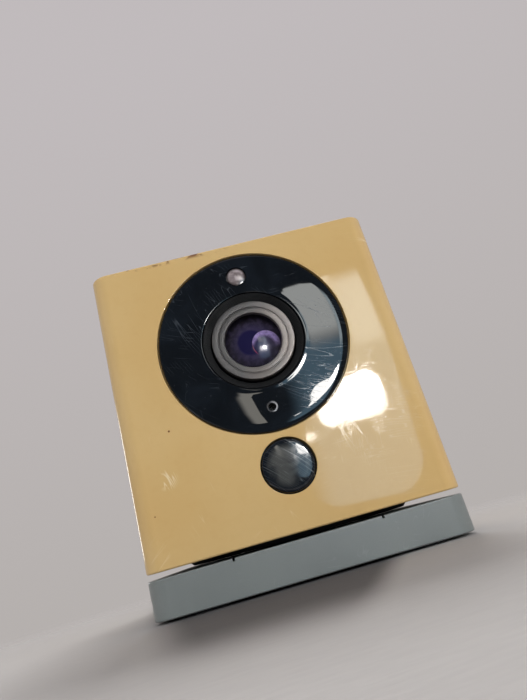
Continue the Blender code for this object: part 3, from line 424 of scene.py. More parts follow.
def turned_metal_look():
    """Grey anodised ring with the lathe's fine circles round the lens axis; painted shade left and top,
    painted highlight right.
    """
    look = Look("turned_ring")
    radius = look.radius_about(0.0, LENS_Z)
    rings = look.node("TexNoise", Scale=16.0, Detail=3.0)
    rings.noise_dimensions = "1D"
    look.feed(rings.inputs["W"], radius)
    circles = rings.outputs["Fac"]
    color = look.mix(look.remap(circles, 0.3, 0.7), (0.125, 0.115, 0.108), (0.185, 0.175, 0.166))
    warm = look.cloud((0.22, 2.0), 0.40, 0.66)
    color = look.mix(look.times(warm, 0.35), color, (0.20, 0.155, 0.125))
    x, _, z = look.axes()
    # Painted shade: darker towards the left.
    color = look.mix(look.remap(x, -6.0, 6.0, 0.80, 0.0), color, (0.055, 0.052, 0.052))
    # Painted shade: darker towards the top.
    color = look.mix(look.remap(z, LENS_Z + 1.0, LENS_Z + 7.0, 0.0, 0.60), color, (0.036, 0.038, 0.041))
    # Painted highlight: lighter towards the right.
    color = look.mix(look.remap(x, 0.0, 7.0, 0.0, 0.40), color, (0.36, 0.315, 0.295))
    look.set(Base_Color=color, Metallic=0.75, Roughness=look.remap(circles, 0.3, 0.7, 0.34, 0.48))
    look.bump(circles, 0.004)
    look.bump(look.noise(5.0, 2.0), 0.001)
    return look.material


def filter_look():
    """Dark red optical glass with a violet anti-reflection coating and a little dust."""
    look = Look("filter_glass")
    dust = look.cloud((3.2, 5.0), 0.68, 0.74)
    facing = look.node("LayerWeight", Blend=0.35)
    color = look.mix(facing.outputs["Facing"], (0.16, 0.01, 0.03), (0.30, 0.02, 0.06))
    color = look.mix(look.times(dust, 0.15), color, grey(0.3, 0.32))
    look.set(Base_Color=color, IOR=1.6, Roughness=look.plus(0.03, look.times(dust, 0.2)),
             Coat_Weight=0.6, Coat_Roughness=0.02, Coat_Tint=(0.75, 0.6, 1.0))
    look.bump(look.noise(0.5, 1.0), 0.0008)
    return look.material


def clear_look(name, color, rough, transmission):
    """Clear moulded plastic or glass, faintly tinted, with haze and small pits."""
    look = Look(name)
    haze = look.cloud((1.4, 4.0), 0.45, 0.75)
    tinted = look.mix(look.times(haze, 0.3), color, tuple(0.8 * c for c in color))
    look.set(Base_Color=tinted, Transmission_Weight=transmission, IOR=1.49,
             Roughness=look.plus(rough, look.times(haze, 0.05)))
    look.bump(look.noise(2.0, 2.0), 0.001)
    return look.material


def board_look():
    """Green circuit board: solder mask over copper tracks, with tinned pads."""
    look = Look("circuit_board")
    cells = look.node("TexVoronoi", Scale=0.55, Vector=look.place)
    cells.feature = "DISTANCE_TO_EDGE"
    tracks = look.remap(cells.outputs["Distance"], 0.05, 0.09, 1.0, 0.0)
    dots = look.node("TexVoronoi", Scale=1.1, Vector=look.place)
    pads = look.remap(dots.outputs["Distance"], 0.16, 0.20, 1.0, 0.0)
    color = look.mix(look.cloud((0.3, 3.0), 0.3, 0.7), (0.010, 0.085, 0.035), (0.016, 0.12, 0.05))
    color = look.mix(look.times(tracks, 0.6), color, (0.035, 0.20, 0.07))
    color = look.mix(pads, color, (0.62, 0.60, 0.55))
    look.set(Base_Color=color, Metallic=pads, Roughness=look.remap(pads, 0.0, 1.0, 0.35, 0.28))
    look.bump(look.most(tracks, pads), 0.03)
    return look.material


def film_look():
    """Amber polyimide film with copper conductors showing through it."""
    look = Look("polyimide_film")
    wave = look.node("TexWave", Scale=0.35, Distortion=0.0, Vector=look.place)
    copper = look.remap(wave.outputs["Fac"], 0.55, 0.65)
    color = look.mix(copper, (0.36, 0.15, 0.02), (0.55, 0.27, 0.06))
    color = look.mix(look.cloud((0.6, 3.0), 0.3, 0.7, 0.0, 0.3), color, (0.25, 0.10, 0.015))
    look.set(Base_Color=color, Roughness=look.cloud((1.5, 2.0), 0.3, 0.7, 0.22, 0.4))
    look.bump(copper, 0.02)
    return look.material


def foam_look(name, color, pore_scale, depth):
    """Open foam, felt or paper: soft, rough and full of small pores."""
    look = Look(name)
    pores = look.noise(pore_scale, 5.0, 0.5)
    shade = look.mix(look.remap(pores, 0.3, 0.7), tuple(0.5 * c for c in color), color)
    look.set(Base_Color=shade, Roughness=look.remap(pores, 0.3, 0.7, 0.95, 0.75), Sheen_Weight=0.15)
    look.bump(pores, depth)
    return look.material


def make_looks():
    """One material for each slot of the record."""
    return {
        "casing": casing_look(),
        "foot_grey": moulded_look("satin_grey", (0.188, 0.206, 0.200), (0.172, 0.188, 0.184), 0.36, 0.003),
        "cover_grey": moulded_look("satin_light_grey", grey(0.42, 0.40), grey(0.37, 0.355), 0.42),
        "turntable": moulded_look("turntable_black", grey(0.018), grey(0.012), 0.5),
        "front_black": front_black_look(),
        "light_window": light_window_look(),
        "lens_black": moulded_look("lens_black", grey(0.0055, 0.0060), grey(0.0038, 0.0042), 0.62,
                                   0.004, gloss=0.22),
        "lens_ring": turned_metal_look(),
        "lens_glass": coated_element_look(),
        "filter_glass": filter_look(),
        "pin_steel": metal_look("pin_steel", grey(0.60), grey(0.42, 0.43), 0.26),
        "spring_brass": metal_look("spring_bronze", (0.62, 0.42, 0.20), (0.45, 0.28, 0.12), 0.32),
        "magnet": metal_look("nickel_plate", (0.62, 0.61, 0.58), (0.50, 0.49, 0.47), 0.18, 0.001),
        "foot_rubber": moulded_look("black_rubber", grey(0.026, 0.027), grey(0.018, 0.019), 0.78,
                                    0.02, 4.0, 0.1),
        "circuit_board": board_look(),
        "chip": moulded_look("chip_package", grey(0.022, 0.024), grey(0.015, 0.017), 0.5, 0.008),
        "infrared_led": clear_look("led_resin", (0.92, 0.86, 0.74), 0.06, 0.6),
        "metal_can": metal_look("tinned_can", grey(0.62), grey(0.48, 0.49), 0.30, 0.003),
        "heat_sink": metal_look("extruded_aluminium", (0.58, 0.59, 0.60), (0.44, 0.45, 0.46), 0.38, 0.006,
                                (0.0, 90.0, 0.0)),
        "socket_steel": metal_look("socket_steel", grey(0.60), grey(0.46, 0.47), 0.27),
        "frame_black": moulded_look("frame_black", grey(0.024, 0.025), grey(0.016, 0.017), 0.5),
        "flexible_circuit": film_look(),
        "speaker_cone": foam_look("paper_cone", grey(0.030, 0.031), 3.0, 0.02),
        "gasket_foam": foam_look("soft_foam", grey(0.045), 5.0, 0.06),
        "button_grey": moulded_look("button_grey", grey(0.07), grey(0.05), 0.45),
    }


# ======== Mesh helpers ========

def put(name, model):
    """Make an object of a bmesh that is drawn in millimetres."""
    bmesh.ops.recalc_face_normals(model, faces=model.faces)
    bmesh.ops.scale(model, vec=(MM, MM, MM), verts=model.verts)
    mesh = bpy.data.meshes.new(name)
    model.to_mesh(mesh)
    model.free()
    piece = bpy.data.objects.new(name, mesh)
    bpy.context.collection.objects.link(piece)
    return piece


def bake(piece):
    """Replace a piece's mesh by its evaluated one, so no modifier is left on it."""
    graph = bpy.context.evaluated_depsgraph_get()
    mesh = bpy.data.meshes.new_from_object(piece.evaluated_get(graph))
    piece.modifiers.clear()
    piece.data = mesh


def round_edges(piece, width, angle=SHARP_ANGLE):
    """Give every edge that is sharper than an angle in degrees a small fillet."""
    fillet = piece.modifiers.new("fillet", "BEVEL")
    fillet.width = width * MM
    fillet.segments = 2
    fillet.limit_method = "ANGLE"
    fillet.angle_limit = math.radians(angle)
    fillet.use_clamp_overlap = True
    fillet.miter_outer = "MITER_ARC"
    bake(piece)


def carve(piece, *cutters, operation="DIFFERENCE"):
    """Cut tools out of a piece, or add them to it, and remove the tools.

    The manifold solver makes the same mesh each run, which the exact one doesn't.
    """
    for cutter in cutters:
        boolean = piece.modifiers.new("boolean", "BOOLEAN")
        boolean.operation = operation
        boolean.object = cutter
        boolean.solver = "MANIFOLD"
    bake(piece)
    for cutter in cutters:
        bpy.data.objects.remove(cutter)


def bevel(model, edges, width, steps):
    """Round the given edges of a bmesh."""
    bmesh.ops.bevel(model, geom=edges, offset=width, segments=steps, profile=0.5, affect="EDGES")


def block(name, low, high, upright_radius=0.0, rims=(), steps=12):
    """A block with rounded upright edges; rims are (height, radius, steps) of its two flat ends."""
    low, high = Vector(low), Vector(high)
    model = bmesh.new()
    size, middle = high - low, (low + high) / 2.0
    bmesh.ops.create_cube(model, size=1.0,
                          matrix=Matrix.Translation(middle) @ Matrix.Diagonal((*size, 1.0)))
    if upright_radius > 0.0:
        upright = [e for e in model.edges if abs(e.verts[0].co.z - e.verts[1].co.z) > 1e-6]
        bevel(model, upright, upright_radius, steps)
    for height, radius, rim_steps in rims:
        rim = [e for e in model.edges if all(abs(v.co.z - height) < 1e-4 for v in e.verts)]
        bevel(model, rim, radius, rim_steps)
    return put(name, model)


def rounded_profile(points, steps=4):
    """Round a profile's corners; each point is (radius, height) or (radius, height, fillet)."""
    result = []
    count = len(points)
    for index, point in enumerate(points):
        fillet = point[2] if len(point) > 2 else 0.0
        here = Vector(point[:2])
        if fillet <= 0.0:
            result.append(here)
            continue
        before = Vector(points[index - 1][:2]) - here
        after = Vector(points[(index + 1) % count][:2]) - here
        corner = before.angle(after)
        reach = min(fillet / math.tan(corner / 2.0), before.length * 0.5, after.length * 0.5)
        radius = reach * math.tan(corner / 2.0)
        bisector = (before.normalized() + after.normalized()).normalized()
        centre = here + bisector * radius / math.sin(corner / 2.0)
        start = here + before.normalized() * reach - centre
        end = here + after.normalized() * reach - centre
        sweep = start.angle(end)
        for step in range(steps + 1):
            share = step / steps
            a = math.sin((1.0 - share) * sweep) / math.sin(sweep)
            b = math.sin(share * sweep) / math.sin(sweep)
            result.append(centre + start * a + end * b)
    return result


TURNING_AXES = {
    "front": (Vector((1, 0, 0)), Vector((0, 0, 1)), Vector((0, -1, 0))),
    "side": (Vector((0, 1, 0)), Vector((0, 0, 1)), Vector((1, 0, 0))),
}


def lathe(name, points, centre, steps, axis="front"):
    """Turn a closed profile about an axis. Points on the axis have the radius 0."""
    across, beside, along = TURNING_AXES[axis]
    centre = Vector(centre)
    model = bmesh.new()
    rings = []
    for radius, height in rounded_profile(points):
        if radius < 1e-6:
            rings.append([model.verts.new(centre + along * height)])
            continue
        ring = []
        for step in range(steps):
            angle = 2.0 * math.pi * step / steps
            around = across * math.cos(angle) + beside * math.sin(angle)
            ring.append(model.verts.new(centre + along * height + around * radius))
        rings.append(ring)
    pairs = list(zip(rings, rings[1:]))
    if len(rings[0]) > 1 or len(rings[-1]) > 1:
        pairs.append((rings[-1], rings[0]))
    for near, far in pairs:
        for step in range(steps):
            after = (step + 1) % steps
            corners = [near[step % len(near)], near[after % len(near)],
                       far[after % len(far)], far[step % len(far)]]
            unique = list(dict.fromkeys(corners))
            if len(unique) > 2:
                model.faces.new(unique)
    return put(name, model)


def bore(name, radius, start, end, centre, steps, axis="front"):
    """A plain round tool from one height to another along an axis."""
    return lathe(name, [(0.0, start), (radius, start), (radius, end), (0.0, end)], centre, steps, axis)


def dome_points(radius, height, rise, steps):
    """Points of a shallow dome from its middle to its rim, whose height is given."""
    sphere = (radius ** 2 + rise ** 2) / (2.0 * rise)
    points = []
    for step in range(steps + 1):
        reach = radius * step / steps
        points.append((reach, height + rise - (sphere - math.sqrt(sphere ** 2 - reach ** 2))))
    return points


LOOKS = make_looks()


def finish_piece(piece, body, slot, replaces=(), angle=30.0, filleted=False, look=None):
    """Shade and dress a piece, seat it on its CAD body and hide the CAD nodes that it stands for.

    Edges stay sharp above the angle in degrees. The flat faces of a filleted piece stay flat.
    """
    piece.data.shade_smooth()
    piece.data.set_sharp_from_angle(angle=math.radians(angle))
    if filleted:
        weighted = piece.modifiers.new("weighted", "WEIGHTED_NORMAL")
        weighted.keep_sharp = True
        bake(piece)
    piece.data.materials.clear()
    piece.data.materials.append(look or LOOKS[slot])
    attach(piece, body)
    if replaces:
        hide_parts(*replaces)


def dress_cad_nodes():
    """Give every CAD node the material of its slot."""
    for part in frame["record"]["subparts"]:
        node = frame["nodes"][part["node"]]
        node.data.materials.clear()
        node.data.materials.append(LOOKS[part["material_slot"]])


# ======== Head: casing and face ========

def make_casing():
    """The shell, open underneath and at the back, with a seat for the disc and two openings."""
    low, high = CASING.low.z, CASING.high.z
    shell = block("casing_shell", CASING.low, CASING.high, SIDE_RADIUS,
                  [(high, TOP_RADIUS, 5), (low, LOWER_RADIUS, 4)], 18)
    inner = HALF - WALL
    hollow = block("hollow", (-inner, -inner, low - 2.0), (inner, inner, high - WALL),
                   SIDE_RADIUS - WALL, steps=6)
    seat = bore("seat", DISC_RADIUS + GROOVE, FACE + 1.0, FACE - DISC_SEAT, LENS_AXIS, 160)
    opening = bore("opening", LENS_OPENING, FACE, FACE - 4.0, LENS_AXIS, 96)
    motion_hole = bore("motion_hole", MOTION_RADIUS + GROOVE, FACE + 1.0, FACE - 4.0, MOTION_AXIS, 96)
    window = block("window", (-PANEL_HALF - PANEL_GAP, FACE - 4.0, PANEL_LOW - PANEL_GAP),
                   (PANEL_HALF + PANEL_GAP, FACE + 4.0, PANEL_HIGH + PANEL_GAP))
    round_along_y(window, 2.0)
    carve(shell, hollow, seat, opening, motion_hole, window)
    round_edges(shell, 0.09)
    finish_piece(shell, "head", "casing", ["casing"], filleted=True)


def round_along_y(piece, radius, steps=8):
    """Round the edges of a block that run along Y."""
    model = bmesh.new()
    model.from_mesh(piece.data)
    along = []
    for edge in model.edges:
        span = edge.verts[0].co - edge.verts[1].co
        if abs(span.y) > max(abs(span.x), abs(span.z)):
            along.append(edge)
    bevel(model, along, radius * MM, steps)
    model.to_mesh(piece.data)
    model.free()
    return piece


def flared_hole(name, rim, rim_height, radius, depth, axis):
    """A tool through the front plate: a cone from its rim down to a depth, then a plain hole."""
    return lathe(name, [(0.0, FACE + rim_height), (rim, FACE + rim_height), (radius, FACE - depth),
                        (radius, FACE - 3.0), (0.0, FACE - 3.0)], axis, 64)


def make_front_disc():
    """The polished plate round the lens: flat, with a raised lip inside and a rolled-off rim."""
    inner, outer, front = PLATE_HOLE, DISC_RADIUS, FACE - 0.05
    flat_end = outer - CROWN_WIDTH
    points = [(inner, FACE - 1.0)]
    for across, rise in ((0.0, 0.020), (0.03, 0.036), (0.14, 0.042), (0.26, 0.040), (0.40, 0.029),
                         (0.56, 0.013), (0.74, 0.003), (0.95, 0.0)):
        points.append((inner + across, front + rise))
    for share in (0.25, 0.5, 0.75):
        points.append((inner + (flat_end - inner) * share, front))
    points.append((flat_end, front))
    for across, fall in ((1.25, 0.004), (0.9, 0.018), (0.55, 0.045), (0.22, 0.10), (0.05, 0.22),
                         (0.0, 0.42)):
        points.append((outer - across, front - fall))
    points.append((outer, FACE - 1.0))
    disc = lathe("front_plate", points, LENS_AXIS, 192)
    carve(disc, flared_hole("light_hole", 1.98, 1.0, 1.78, 0.14, LIGHT_AXIS),
          flared_hole("microphone_hole", 1.60, 0.6, 0.62, 0.28, MICROPHONE_AXIS))
    finish_piece(disc, "head", "front_black", ["front_disc"], 25.0)


def make_motion_window():
    radius = MOTION_RADIUS
    points = dome_points(radius - 0.30, FACE - 0.16, 0.13, 12)
    points += [(radius - 0.12, FACE - 0.26), (radius - 0.03, FACE - 0.42), (radius, FACE - 0.65),
               (radius, FACE - 2.3), (5.1, FACE - 2.3), (5.1, FACE - 3.0), (0.0, FACE - 3.0)]
    window = lathe("motion_sensor_window", points, MOTION_AXIS, 128)
    finish_piece(window, "head", "front_black", ["motion_window"], look=motion_window_look())


def make_light_window():
    points = dome_points(1.6, FACE - 0.2, 0.15, 8)
    points += [(1.6, FACE - 1.4), (2.3, FACE - 1.4), (2.3, FACE - 2.1), (0.0, FACE - 2.1)]
    window = lathe("light_sensor_window", points, LIGHT_AXIS, 64)
    finish_piece(window, "head", "light_window", ["light_window"])


def make_lens_surround():
    """Matt conical bezel, with fine anti-glare steps, and the turned ring that frames the glass."""
    outer, throat, rim = 8.5, RING_RADIUS + 0.3, 0.12
    points = [(9.5, FACE - 3.2), (9.5, FACE - 1.6), (outer, FACE - 1.6), (outer, FACE - 0.1, 0.05)]
    steps = 7
    for step in range(steps):
        near, far = (outer - rim - (outer - rim - throat) * place / steps for place in (step, step + 1))
        depth = FACE - 0.1 - 1.2 * (step + 1) / steps
        points += [(near, depth + 0.04), (far, depth)]
    points += [(throat, FACE - 3.2)]
    bezel = lathe("lens_surround", points, LENS_AXIS, 160)
    finish_piece(bezel, "head", "lens_black", ["lens_bezel"], 20.0)

    front = FACE - 0.15
    points = [(TRIM_INNER + 0.25, FACE - 1.1), (TRIM_INNER, FACE - 0.75),
              (TRIM_INNER + 0.16, front - 0.12, 0.05),
              (5.72, front - 0.10, 0.02), (5.80, front - 0.20, 0.02), (5.90, front - 0.20, 0.02),
              (5.98, front - 0.05, 0.02), (RING_RADIUS - 0.10, front, 0.06),
              (RING_RADIUS, front - 0.14, 0.04), (RING_RADIUS, FACE - 1.1)]
    ring = lathe("lens_trim_ring", points, LENS_AXIS, 160)
    finish_piece(ring, "head", "lens_ring", ["lens_ring"])


def make_lens_glass():
    """The domed front element, coated violet."""
    points = dome_points(LENS_RADIUS, FACE - 2.4, LENS_RISE, 28)
    points += [(LENS_RADIUS, FACE - 3.4), (0.0, FACE - 3.5)]
    glass = lathe("front_element", points, LENS_AXIS, 128)
    finish_piece(glass, "head", "lens_glass", ["front_lens"])


def make_microphone_felt():
    """The felt behind the microphone hole."""
    felt = lathe("microphone_felt", [(0.0, FACE - 1.95), (0.36, FACE - 1.97), (0.42, FACE - 2.06),
                                     (0.0, FACE - 2.10)], MICROPHONE_AXIS, 24)
    finish_piece(felt, "head", "gasket_foam", angle=40.0)


# ======== Head: back and underside ========

def port_tool(name, low_x, low_z, high_x, high_z, corner):
    """A rounded opening through the rear panel, a little larger than what sits in it."""
    tool = block(name, (low_x - PORT_GAP, FACE - 6.0, low_z - PORT_GAP),
                 (high_x + PORT_GAP, FACE + 1.0, high_z + PORT_GAP))
    return round_along_y(tool, corner, 5)


def rear_hole(name, x, z, radius, rim, chamfer, steps):
    """A round tool through the rear panel, wider at its rim. Heights along it grow forwards."""
    inside, outside, surface = 8.0 - FACE, -1.0 - FACE, -PANEL_BACK
    return lathe(name, [(0.0, inside), (radius, inside), (radius, surface + chamfer), (rim, surface),
                        (rim, outside), (0.0, outside)], (x, 0.0, z), steps)


def make_rear_panel():
    """The panel in the casing's rear window, with its speaker grille and port openings."""
    panel = block("back_panel", (-PANEL_HALF, FACE - 2.8, PANEL_LOW),
                  (PANEL_HALF, PANEL_BACK, PANEL_HIGH))
    round_along_y(panel, 1.7, 10)
    half = PANEL_HALF + PANEL_FLANGE
    plate = block("plate", (-half, FACE - 3.3, PANEL_LOW - 0.9),
                  (half, FACE - 2.3, PANEL_HIGH + PANEL_FLANGE))
    carve(panel, plate, operation="UNION")
    tools = []
    speaker = Box("speaker").middle
    for ring, count in ((0, 1), (1, 6), (2, 12)):
        for step in range(count):
            angle = 2.0 * math.pi * step / count
            tools.append(rear_hole(f"hole_{ring}_{step}", GRILLE_PITCH * ring * math.cos(angle),
                                   speaker.z + GRILLE_PITCH * ring * math.sin(angle),
                                   0.8, 1.05, 0.22, 24))
    for node, corner in (("usb_socket", 0.35), ("power_socket", 0.8)):
        box = Box(node)
        tools.append(port_tool(node, box.low.x, box.low.z, box.high.x, box.high.z, corner))
    tools.append(port_tool("card_slot", -5.6, 12.75, 5.6, 13.65, 0.3))
    light = Box("status_light").middle
    tools.append(rear_hole("light", light.x, light.z, 1.15, 1.35, 0.2, 32))
    carve(panel, *tools)
    round_edges(panel, 0.12)
    finish_piece(panel, "head", "cover_grey", ["rear_panel"], filleted=True)


def refined(node, name, body, slot, width):
    """A CAD node's shape with its sharp edges filleted and its round faces shaded smooth."""
    model = bmesh.new()
    model.from_mesh(frame["nodes"][node].data)
    bmesh.ops.scale(model, vec=(1.0 / MM, 1.0 / MM, 1.0 / MM), verts=model.verts)
    bmesh.ops.remove_doubles(model, verts=model.verts, dist=1e-4)
    bmesh.ops.dissolve_limit(model, angle_limit=math.radians(1.0), verts=model.verts, edges=model.edges)
    piece = put(name, model)
    round_edges(piece, width, 35.0)
    finish_piece(piece, body, slot, [node], filleted=True)


# ======== Stand ========

def make_foot():
    """The square foot with its pocket for the arm, hinge grooves, notches, seats and pin hole."""
    low, high = FOOT.low.z, FOOT.high.z
    foot = block("foot_base", FOOT.low, FOOT.high, SIDE_RADIUS, [(high, 0.22, 3), (low, 0.3, 3)], 18)
    web_back, pocket = FOOT_WEB - HALF, ARM.high.x + 0.3
    tools = [block("pocket", (-pocket, web_back, 1.4), (pocket, HALF + 2.0, high + 1.0)),
             block("front_groove", (-pocket, web_back, 1.15), (pocket, -FOOT_GROOVE_Y, 2.4)),
             block("rear_groove", (-pocket, FOOT_GROOVE_Y, 1.15), (pocket, HALF + 2.0, 2.4))]
    for side, sign in (("left", -1), ("right", 1)):
        tools.append(block("notch", (sign * NOTCH_X - 0.2, -HALF - 1.0, high - 0.45),
                           (sign * NOTCH_X + 0.2, web_back + 0.5, high + 1.0)))
        for node, gap, floor, radius in (("foot_pad_", 0.15, -1.0, 3.9), ("magnet_", 0.3, 0.9, 0.0)):
            box = Box(node + side)
            tools.append(block("seat", (box.low.x - gap, box.low.y - gap, floor),
                               (box.high.x + gap, box.high.y + gap, box.high.z + 0.3), radius))
    pin = Box("foot_pin").middle
    tools.append(bore("pin_hole", 0.7, -30.0, 30.0, (0.0, pin.y, pin.z), 32, "side"))
    carve(foot, *tools)
    round_edges(foot, 0.07)
    finish_piece(foot, "foot", "foot_grey", ["foot_plate"], filleted=True)


def make_pads():
    """Rubber strips under the foot, with a fine tread and softened edges."""
    for side in ("left", "right"):
        box = Box("foot_pad_" + side)
        pad = block("tread_" + side, box.low, box.high, box.size.x / 2.0 - 0.02, [(box.low.z, 0.2, 3)], 16)
        grooves = []
        for step in range(-9, 10):
            y = step * TREAD_PITCH
            grooves.append(block("groove", (box.low.x + 0.9, y - 0.25, -1.0),
                                 (box.high.x - 0.9, y + 0.25, 0.12)))
        carve(pad, *grooves)
        finish_piece(pad, "foot", "foot_rubber", ["foot_pad_" + side], filleted=True)


def make_refined_pieces():
    """Pieces that keep their CAD shape and get fine fillets."""
    refined("stand_arm", "folding_arm", "arm", "foot_grey", 0.15)
    refined("turntable_disc", "turntable", "turntable", "turntable", 0.12)
    refined("bottom_cover", "underside_cover", "head", "cover_grey", 0.12)
    refined("setup_button", "button_cap", "button", "button_grey", 0.10)
    refined("usb_socket", "usb_shell", "head", "socket_steel", 0.06)
    refined("power_socket", "power_shell", "head", "socket_steel", 0.05)
    refined("inner_frame", "chassis", "head", "frame_black", 0.12)
    refined("lens_holder", "lens_housing", "head", "lens_black", 0.10)
    refined("heat_sink", "finned_sink", "head", "heat_sink", 0.06)


# ======== Stage: floor, backdrop, lights and camera ========

CAMERA_PLACE = Vector((-5.8, -111.2, 7.3))
CAMERA_AIM = Vector((0.0760, 0.9453, 0.3172))
CAMERA_ROLL = math.radians(-15.95)
CAMERA_LENS_MM = 28.19
NO_FADE = (0.0, 0.0, 0.0, 0.0)
BACKDROP_LOW = (0.460, 0.432, 0.418)
BACKDROP_HIGH = (0.530, 0.495, 0.505)
LIGHT_AIM = Vector((0.0, 0.0, 30.0))


def make_camera():
    data = bpy.data.cameras.new("camera")
    data.lens = CAMERA_LENS_MM
    data.clip_start = 0.005
    camera = bpy.data.objects.new("camera", data)
    turn = CAMERA_AIM.to_track_quat("-Z", "Y").to_matrix() @ Matrix.Rotation(CAMERA_ROLL, 3, "Z")
    camera.matrix_world = Matrix.Translation(CAMERA_PLACE * MM) @ turn.to_4x4()
    bpy.context.collection.objects.link(camera)
    bpy.context.scene.camera = camera


def make_world():
    """A pale backdrop, a little darker and warmer towards the floor."""
    world = bpy.data.worlds.new("studio")
    bpy.context.scene.world = world
    world.use_nodes = True
    tree = world.node_tree
    direction, split, height, blend = (tree.nodes.new("ShaderNode" + kind)
                                       for kind in ("TexCoord", "SeparateXYZ", "MapRange", "Mix"))
    blend.data_type = "RGBA"
    height.inputs["From Min"].default_value = -0.05
    height.inputs["From Max"].default_value = 0.75
    blend.inputs[6].default_value = (*BACKDROP_LOW, 1.0)
    blend.inputs[7].default_value = (*BACKDROP_HIGH, 1.0)
    for source, socket in ((direction.outputs["Generated"], split.inputs[0]),
                           (split.outputs["Z"], height.inputs["Value"]),
                           (height.outputs[0], blend.inputs["Factor"]),
                           (blend.outputs[2], tree.nodes["Background"].inputs["Color"])):
        tree.links.new(source, socket)


def make_floor():
    """A pale table top that fades into the backdrop, with soft shade painted in front of the foot."""
    model = bmesh.new()
    bmesh.ops.create_circle(model, cap_ends=True, segments=128, radius=500.0)
    floor = put("floor", model)
    look = Look("pale_table")
    weave = look.noise(1.6, 3.0, 0.0, look.turned((0.0, 0.0, 8.0), (5.0, 1.0, 1.0)))
    table = look.mix(look.remap(weave, 0.3, 0.7), (0.365, 0.352, 0.342), (0.385, 0.370, 0.359))
    x, y, _ = look.axes()
    left_edge = look.math("SUBTRACT", x, look.times(look.plus(y, 14.0), -0.207))
    right_edge = look.math("SUBTRACT", x, look.times(look.plus(y, 21.5), 0.294))
    shade = look.times(look.remap(left_edge, -29.0, -22.0), look.remap(right_edge, 10.0, 15.0, 1.0, 0.0),
                       look.remap(y, -70.0, -44.0))
    away = look.vector("DISTANCE", look.place, (-6.0, -36.0, 0.0))
    look.set(Base_Color=look.mix(look.times(shade, 0.78), table, (0.035, 0.034, 0.038)),
             Roughness=look.remap(weave, 0.3, 0.7, 0.80, 0.90), Specular_IOR_Level=0.2,
             Alpha=look.remap(away, 40.0, 150.0, 1.0, 0.0))
    look.bump(weave, 0.05)
    floor.data.materials.append(look.material)


def glowing_card(name, place, size, corner, strength, color, fade=NO_FADE, turn=0.0):
    """A rounded card that shines towards the part, and which the camera itself doesn't see.

    place is its middle, size its width and height, fade the widths over which its left, right, lower
    and upper edge die away, and turn its angle in its own plane in degrees.
    """
    model = bmesh.new()
    half_x, half_z = size[0] / 2.0, size[1] / 2.0
    outline = []
    for sign_x, sign_z, start in ((1, 1, 0.0), (-1, 1, 90.0), (-1, -1, 180.0), (1, -1, 270.0)):
        for step in range(9):
            angle = math.radians(start + 90.0 * step / 8.0)
            outline.append((sign_x * (half_x - corner) + corner * math.cos(angle),
                            sign_z * (half_z - corner) + corner * math.sin(angle), 0.0))
    model.faces.new([model.verts.new(point) for point in outline])
    card = put(name, model)
    card.matrix_world = (Matrix.Translation(Vector(place) * MM)
                         @ Matrix.Rotation(math.radians(turn), 4, "Y")
                         @ Matrix.Rotation(math.radians(90.0), 4, "X"))
    look = Look(name)
    x, z, _ = look.axes()
    share = 1.0
    for axis, sign, half, width in ((x, -1.0, half_x, fade[0]), (x, 1.0, half_x, fade[1]),
                                    (z, -1.0, half_z, fade[2]), (z, 1.0, half_z, fade[3])):
        if width > 0.0:
            reach = look.times(axis, sign)
            share = look.times(look.remap(reach, half - width, half, 1.0, 0.0), share)
    blend = look.node("MixShader", Fac=share)
    look.feed(blend.inputs[1], look.node("BsdfTransparent").outputs[0])
    look.feed(blend.inputs[2], look.node("Emission", Color=color, Strength=strength).outputs[0])
    look.feed(look.tree.nodes["Material Output"].inputs["Surface"], blend.outputs[0])
    card.data.materials.append(look.material)
    card.visible_camera = False
    card.visible_shadow = False
    return card


def area_light(name, place, size, power, color=(1.0, 1.0, 1.0)):
    """A rectangular softbox at a place, turned towards the part; the cards do its reflections."""
    data = bpy.data.lights.new(name, "AREA")
    data.shape = "RECTANGLE"
    data.size, data.size_y = size[0] * MM, size[1] * MM
    data.energy = power
    data.color = color
    light = bpy.data.objects.new(name, data)
    turn = (LIGHT_AIM - Vector(place)).to_track_quat("-Z", "Y").to_matrix()
    light.matrix_world = Matrix.Translation(Vector(place) * MM) @ turn.to_4x4()
    light.visible_glossy = False
    bpy.context.collection.objects.link(light)


def face_card(name, low, high, depth, corner, strength, color, fade=NO_FADE, turn=0.0):
    """A card whose mirror image covers a rectangle of the face, from low to high (x, z)."""
    spread = 1.0 + depth / (-FACE - CAMERA_PLACE.y)
    middle_x, middle_z = (low[0] + high[0]) / 2.0, (low[1] + high[1]) / 2.0
    place = (CAMERA_PLACE.x + (middle_x - CAMERA_PLACE.x) * spread, -FACE - depth,
             CAMERA_PLACE.z + (middle_z - CAMERA_PLACE.z) * spread)
    size = ((high[0] - low[0]) * spread, (high[1] - low[1]) * spread)
    fade = [width * spread for width in fade]
    return glowing_card(name, place, size, corner * spread, strength, color, fade, turn)


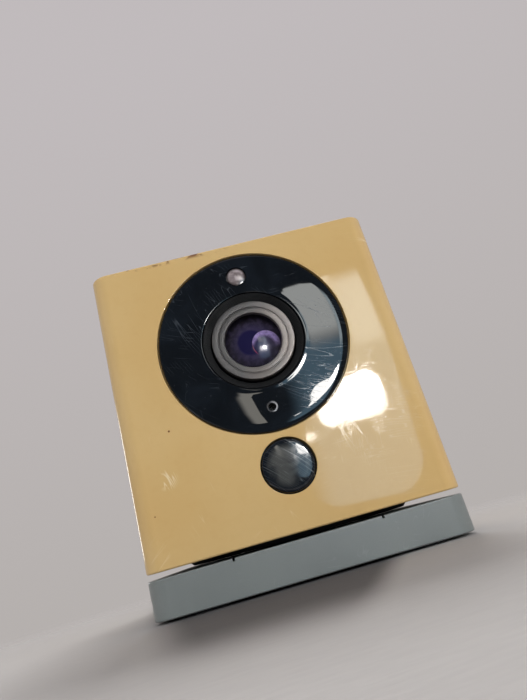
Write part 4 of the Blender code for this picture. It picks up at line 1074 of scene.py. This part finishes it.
def make_lights():
    """Four softboxes, and the cards that the glossy face mirrors: a lamp, a window and the room."""
    area_light("back_softbox", (50.0, 340.0, 560.0), (200.0, 200.0), 3.4)
    area_light("front_softbox", (-60.0, -420.0, 190.0), (300.0, 240.0), 0.84)
    area_light("left_fill", (-430.0, -190.0, 90.0), (220.0, 260.0), 0.06, (0.88, 0.93, 1.0))
    area_light("right_fill", (430.0, -260.0, 80.0), (200.0, 260.0), 0.56)

    glowing_card("room", (60.0, -660.0, 120.0), (1500.0, 1100.0), 200.0, 0.125, (0.66, 0.84, 1.0))
    face_card("lamp", (6.6, 20.8), (18.2, 28.3), 335.0, 2.2, 26.0, (1.0, 0.98, 0.95))
    core = face_card("lamp_core", (11.9, 23.0), (18.0, 28.2), 334.0, 2.5, 130.0, (1.0, 0.99, 0.98))
    core.visible_diffuse = False
    strip = glowing_card("edge_strip", (-165.0, 123.0, 55.0), (60.0, 90.0), 10.0, 5.0, (1.0, 1.0, 1.0),
                         (10.0, 10.0, 8.0, 30.0))
    strip.visible_diffuse = False
    face_card("lamp_spill", (3.7, 19.6), (5.4, 20.9), 333.0, 0.55, 20.0, (1.0, 0.98, 0.95))
    face_card("window", (7.3, 33.6), (16.6, 46.6), 345.0, 1.0, 6.4, (0.98, 1.0, 0.97),
              (0.4, 2.0, 4.5, 0.3), -3.0)
    face_card("window_side", (14.6, 31.5), (21.5, 47.5), 347.0, 1.8, 5.6, (0.80, 0.94, 1.0),
              (2.0, 0.6, 3.0, 3.5), -4.0)
    face_card("window_low", (2.0, 8.4), (21.2, 37.0), 350.0, 6.0, 2.5, (0.46, 0.76, 1.0),
              (5.0, 0.3, 0.5, 3.0), 3.0)
    face_card("pale_band", (-4.9, 22.5), (-2.3, 30.3), 340.0, 0.3, 3.6, (1.0, 0.96, 0.86),
              (1.2, 0.0, 0.2, 0.8), -14.0)


dress_cad_nodes()
make_casing()
make_front_disc()
make_motion_window()
make_light_window()
make_lens_surround()
make_lens_glass()
make_microphone_felt()
make_rear_panel()
make_foot()
make_pads()
make_refined_pieces()

make_world()
make_floor()
make_lights()
make_camera()

bpy.context.scene.view_settings.view_transform = "Standard"
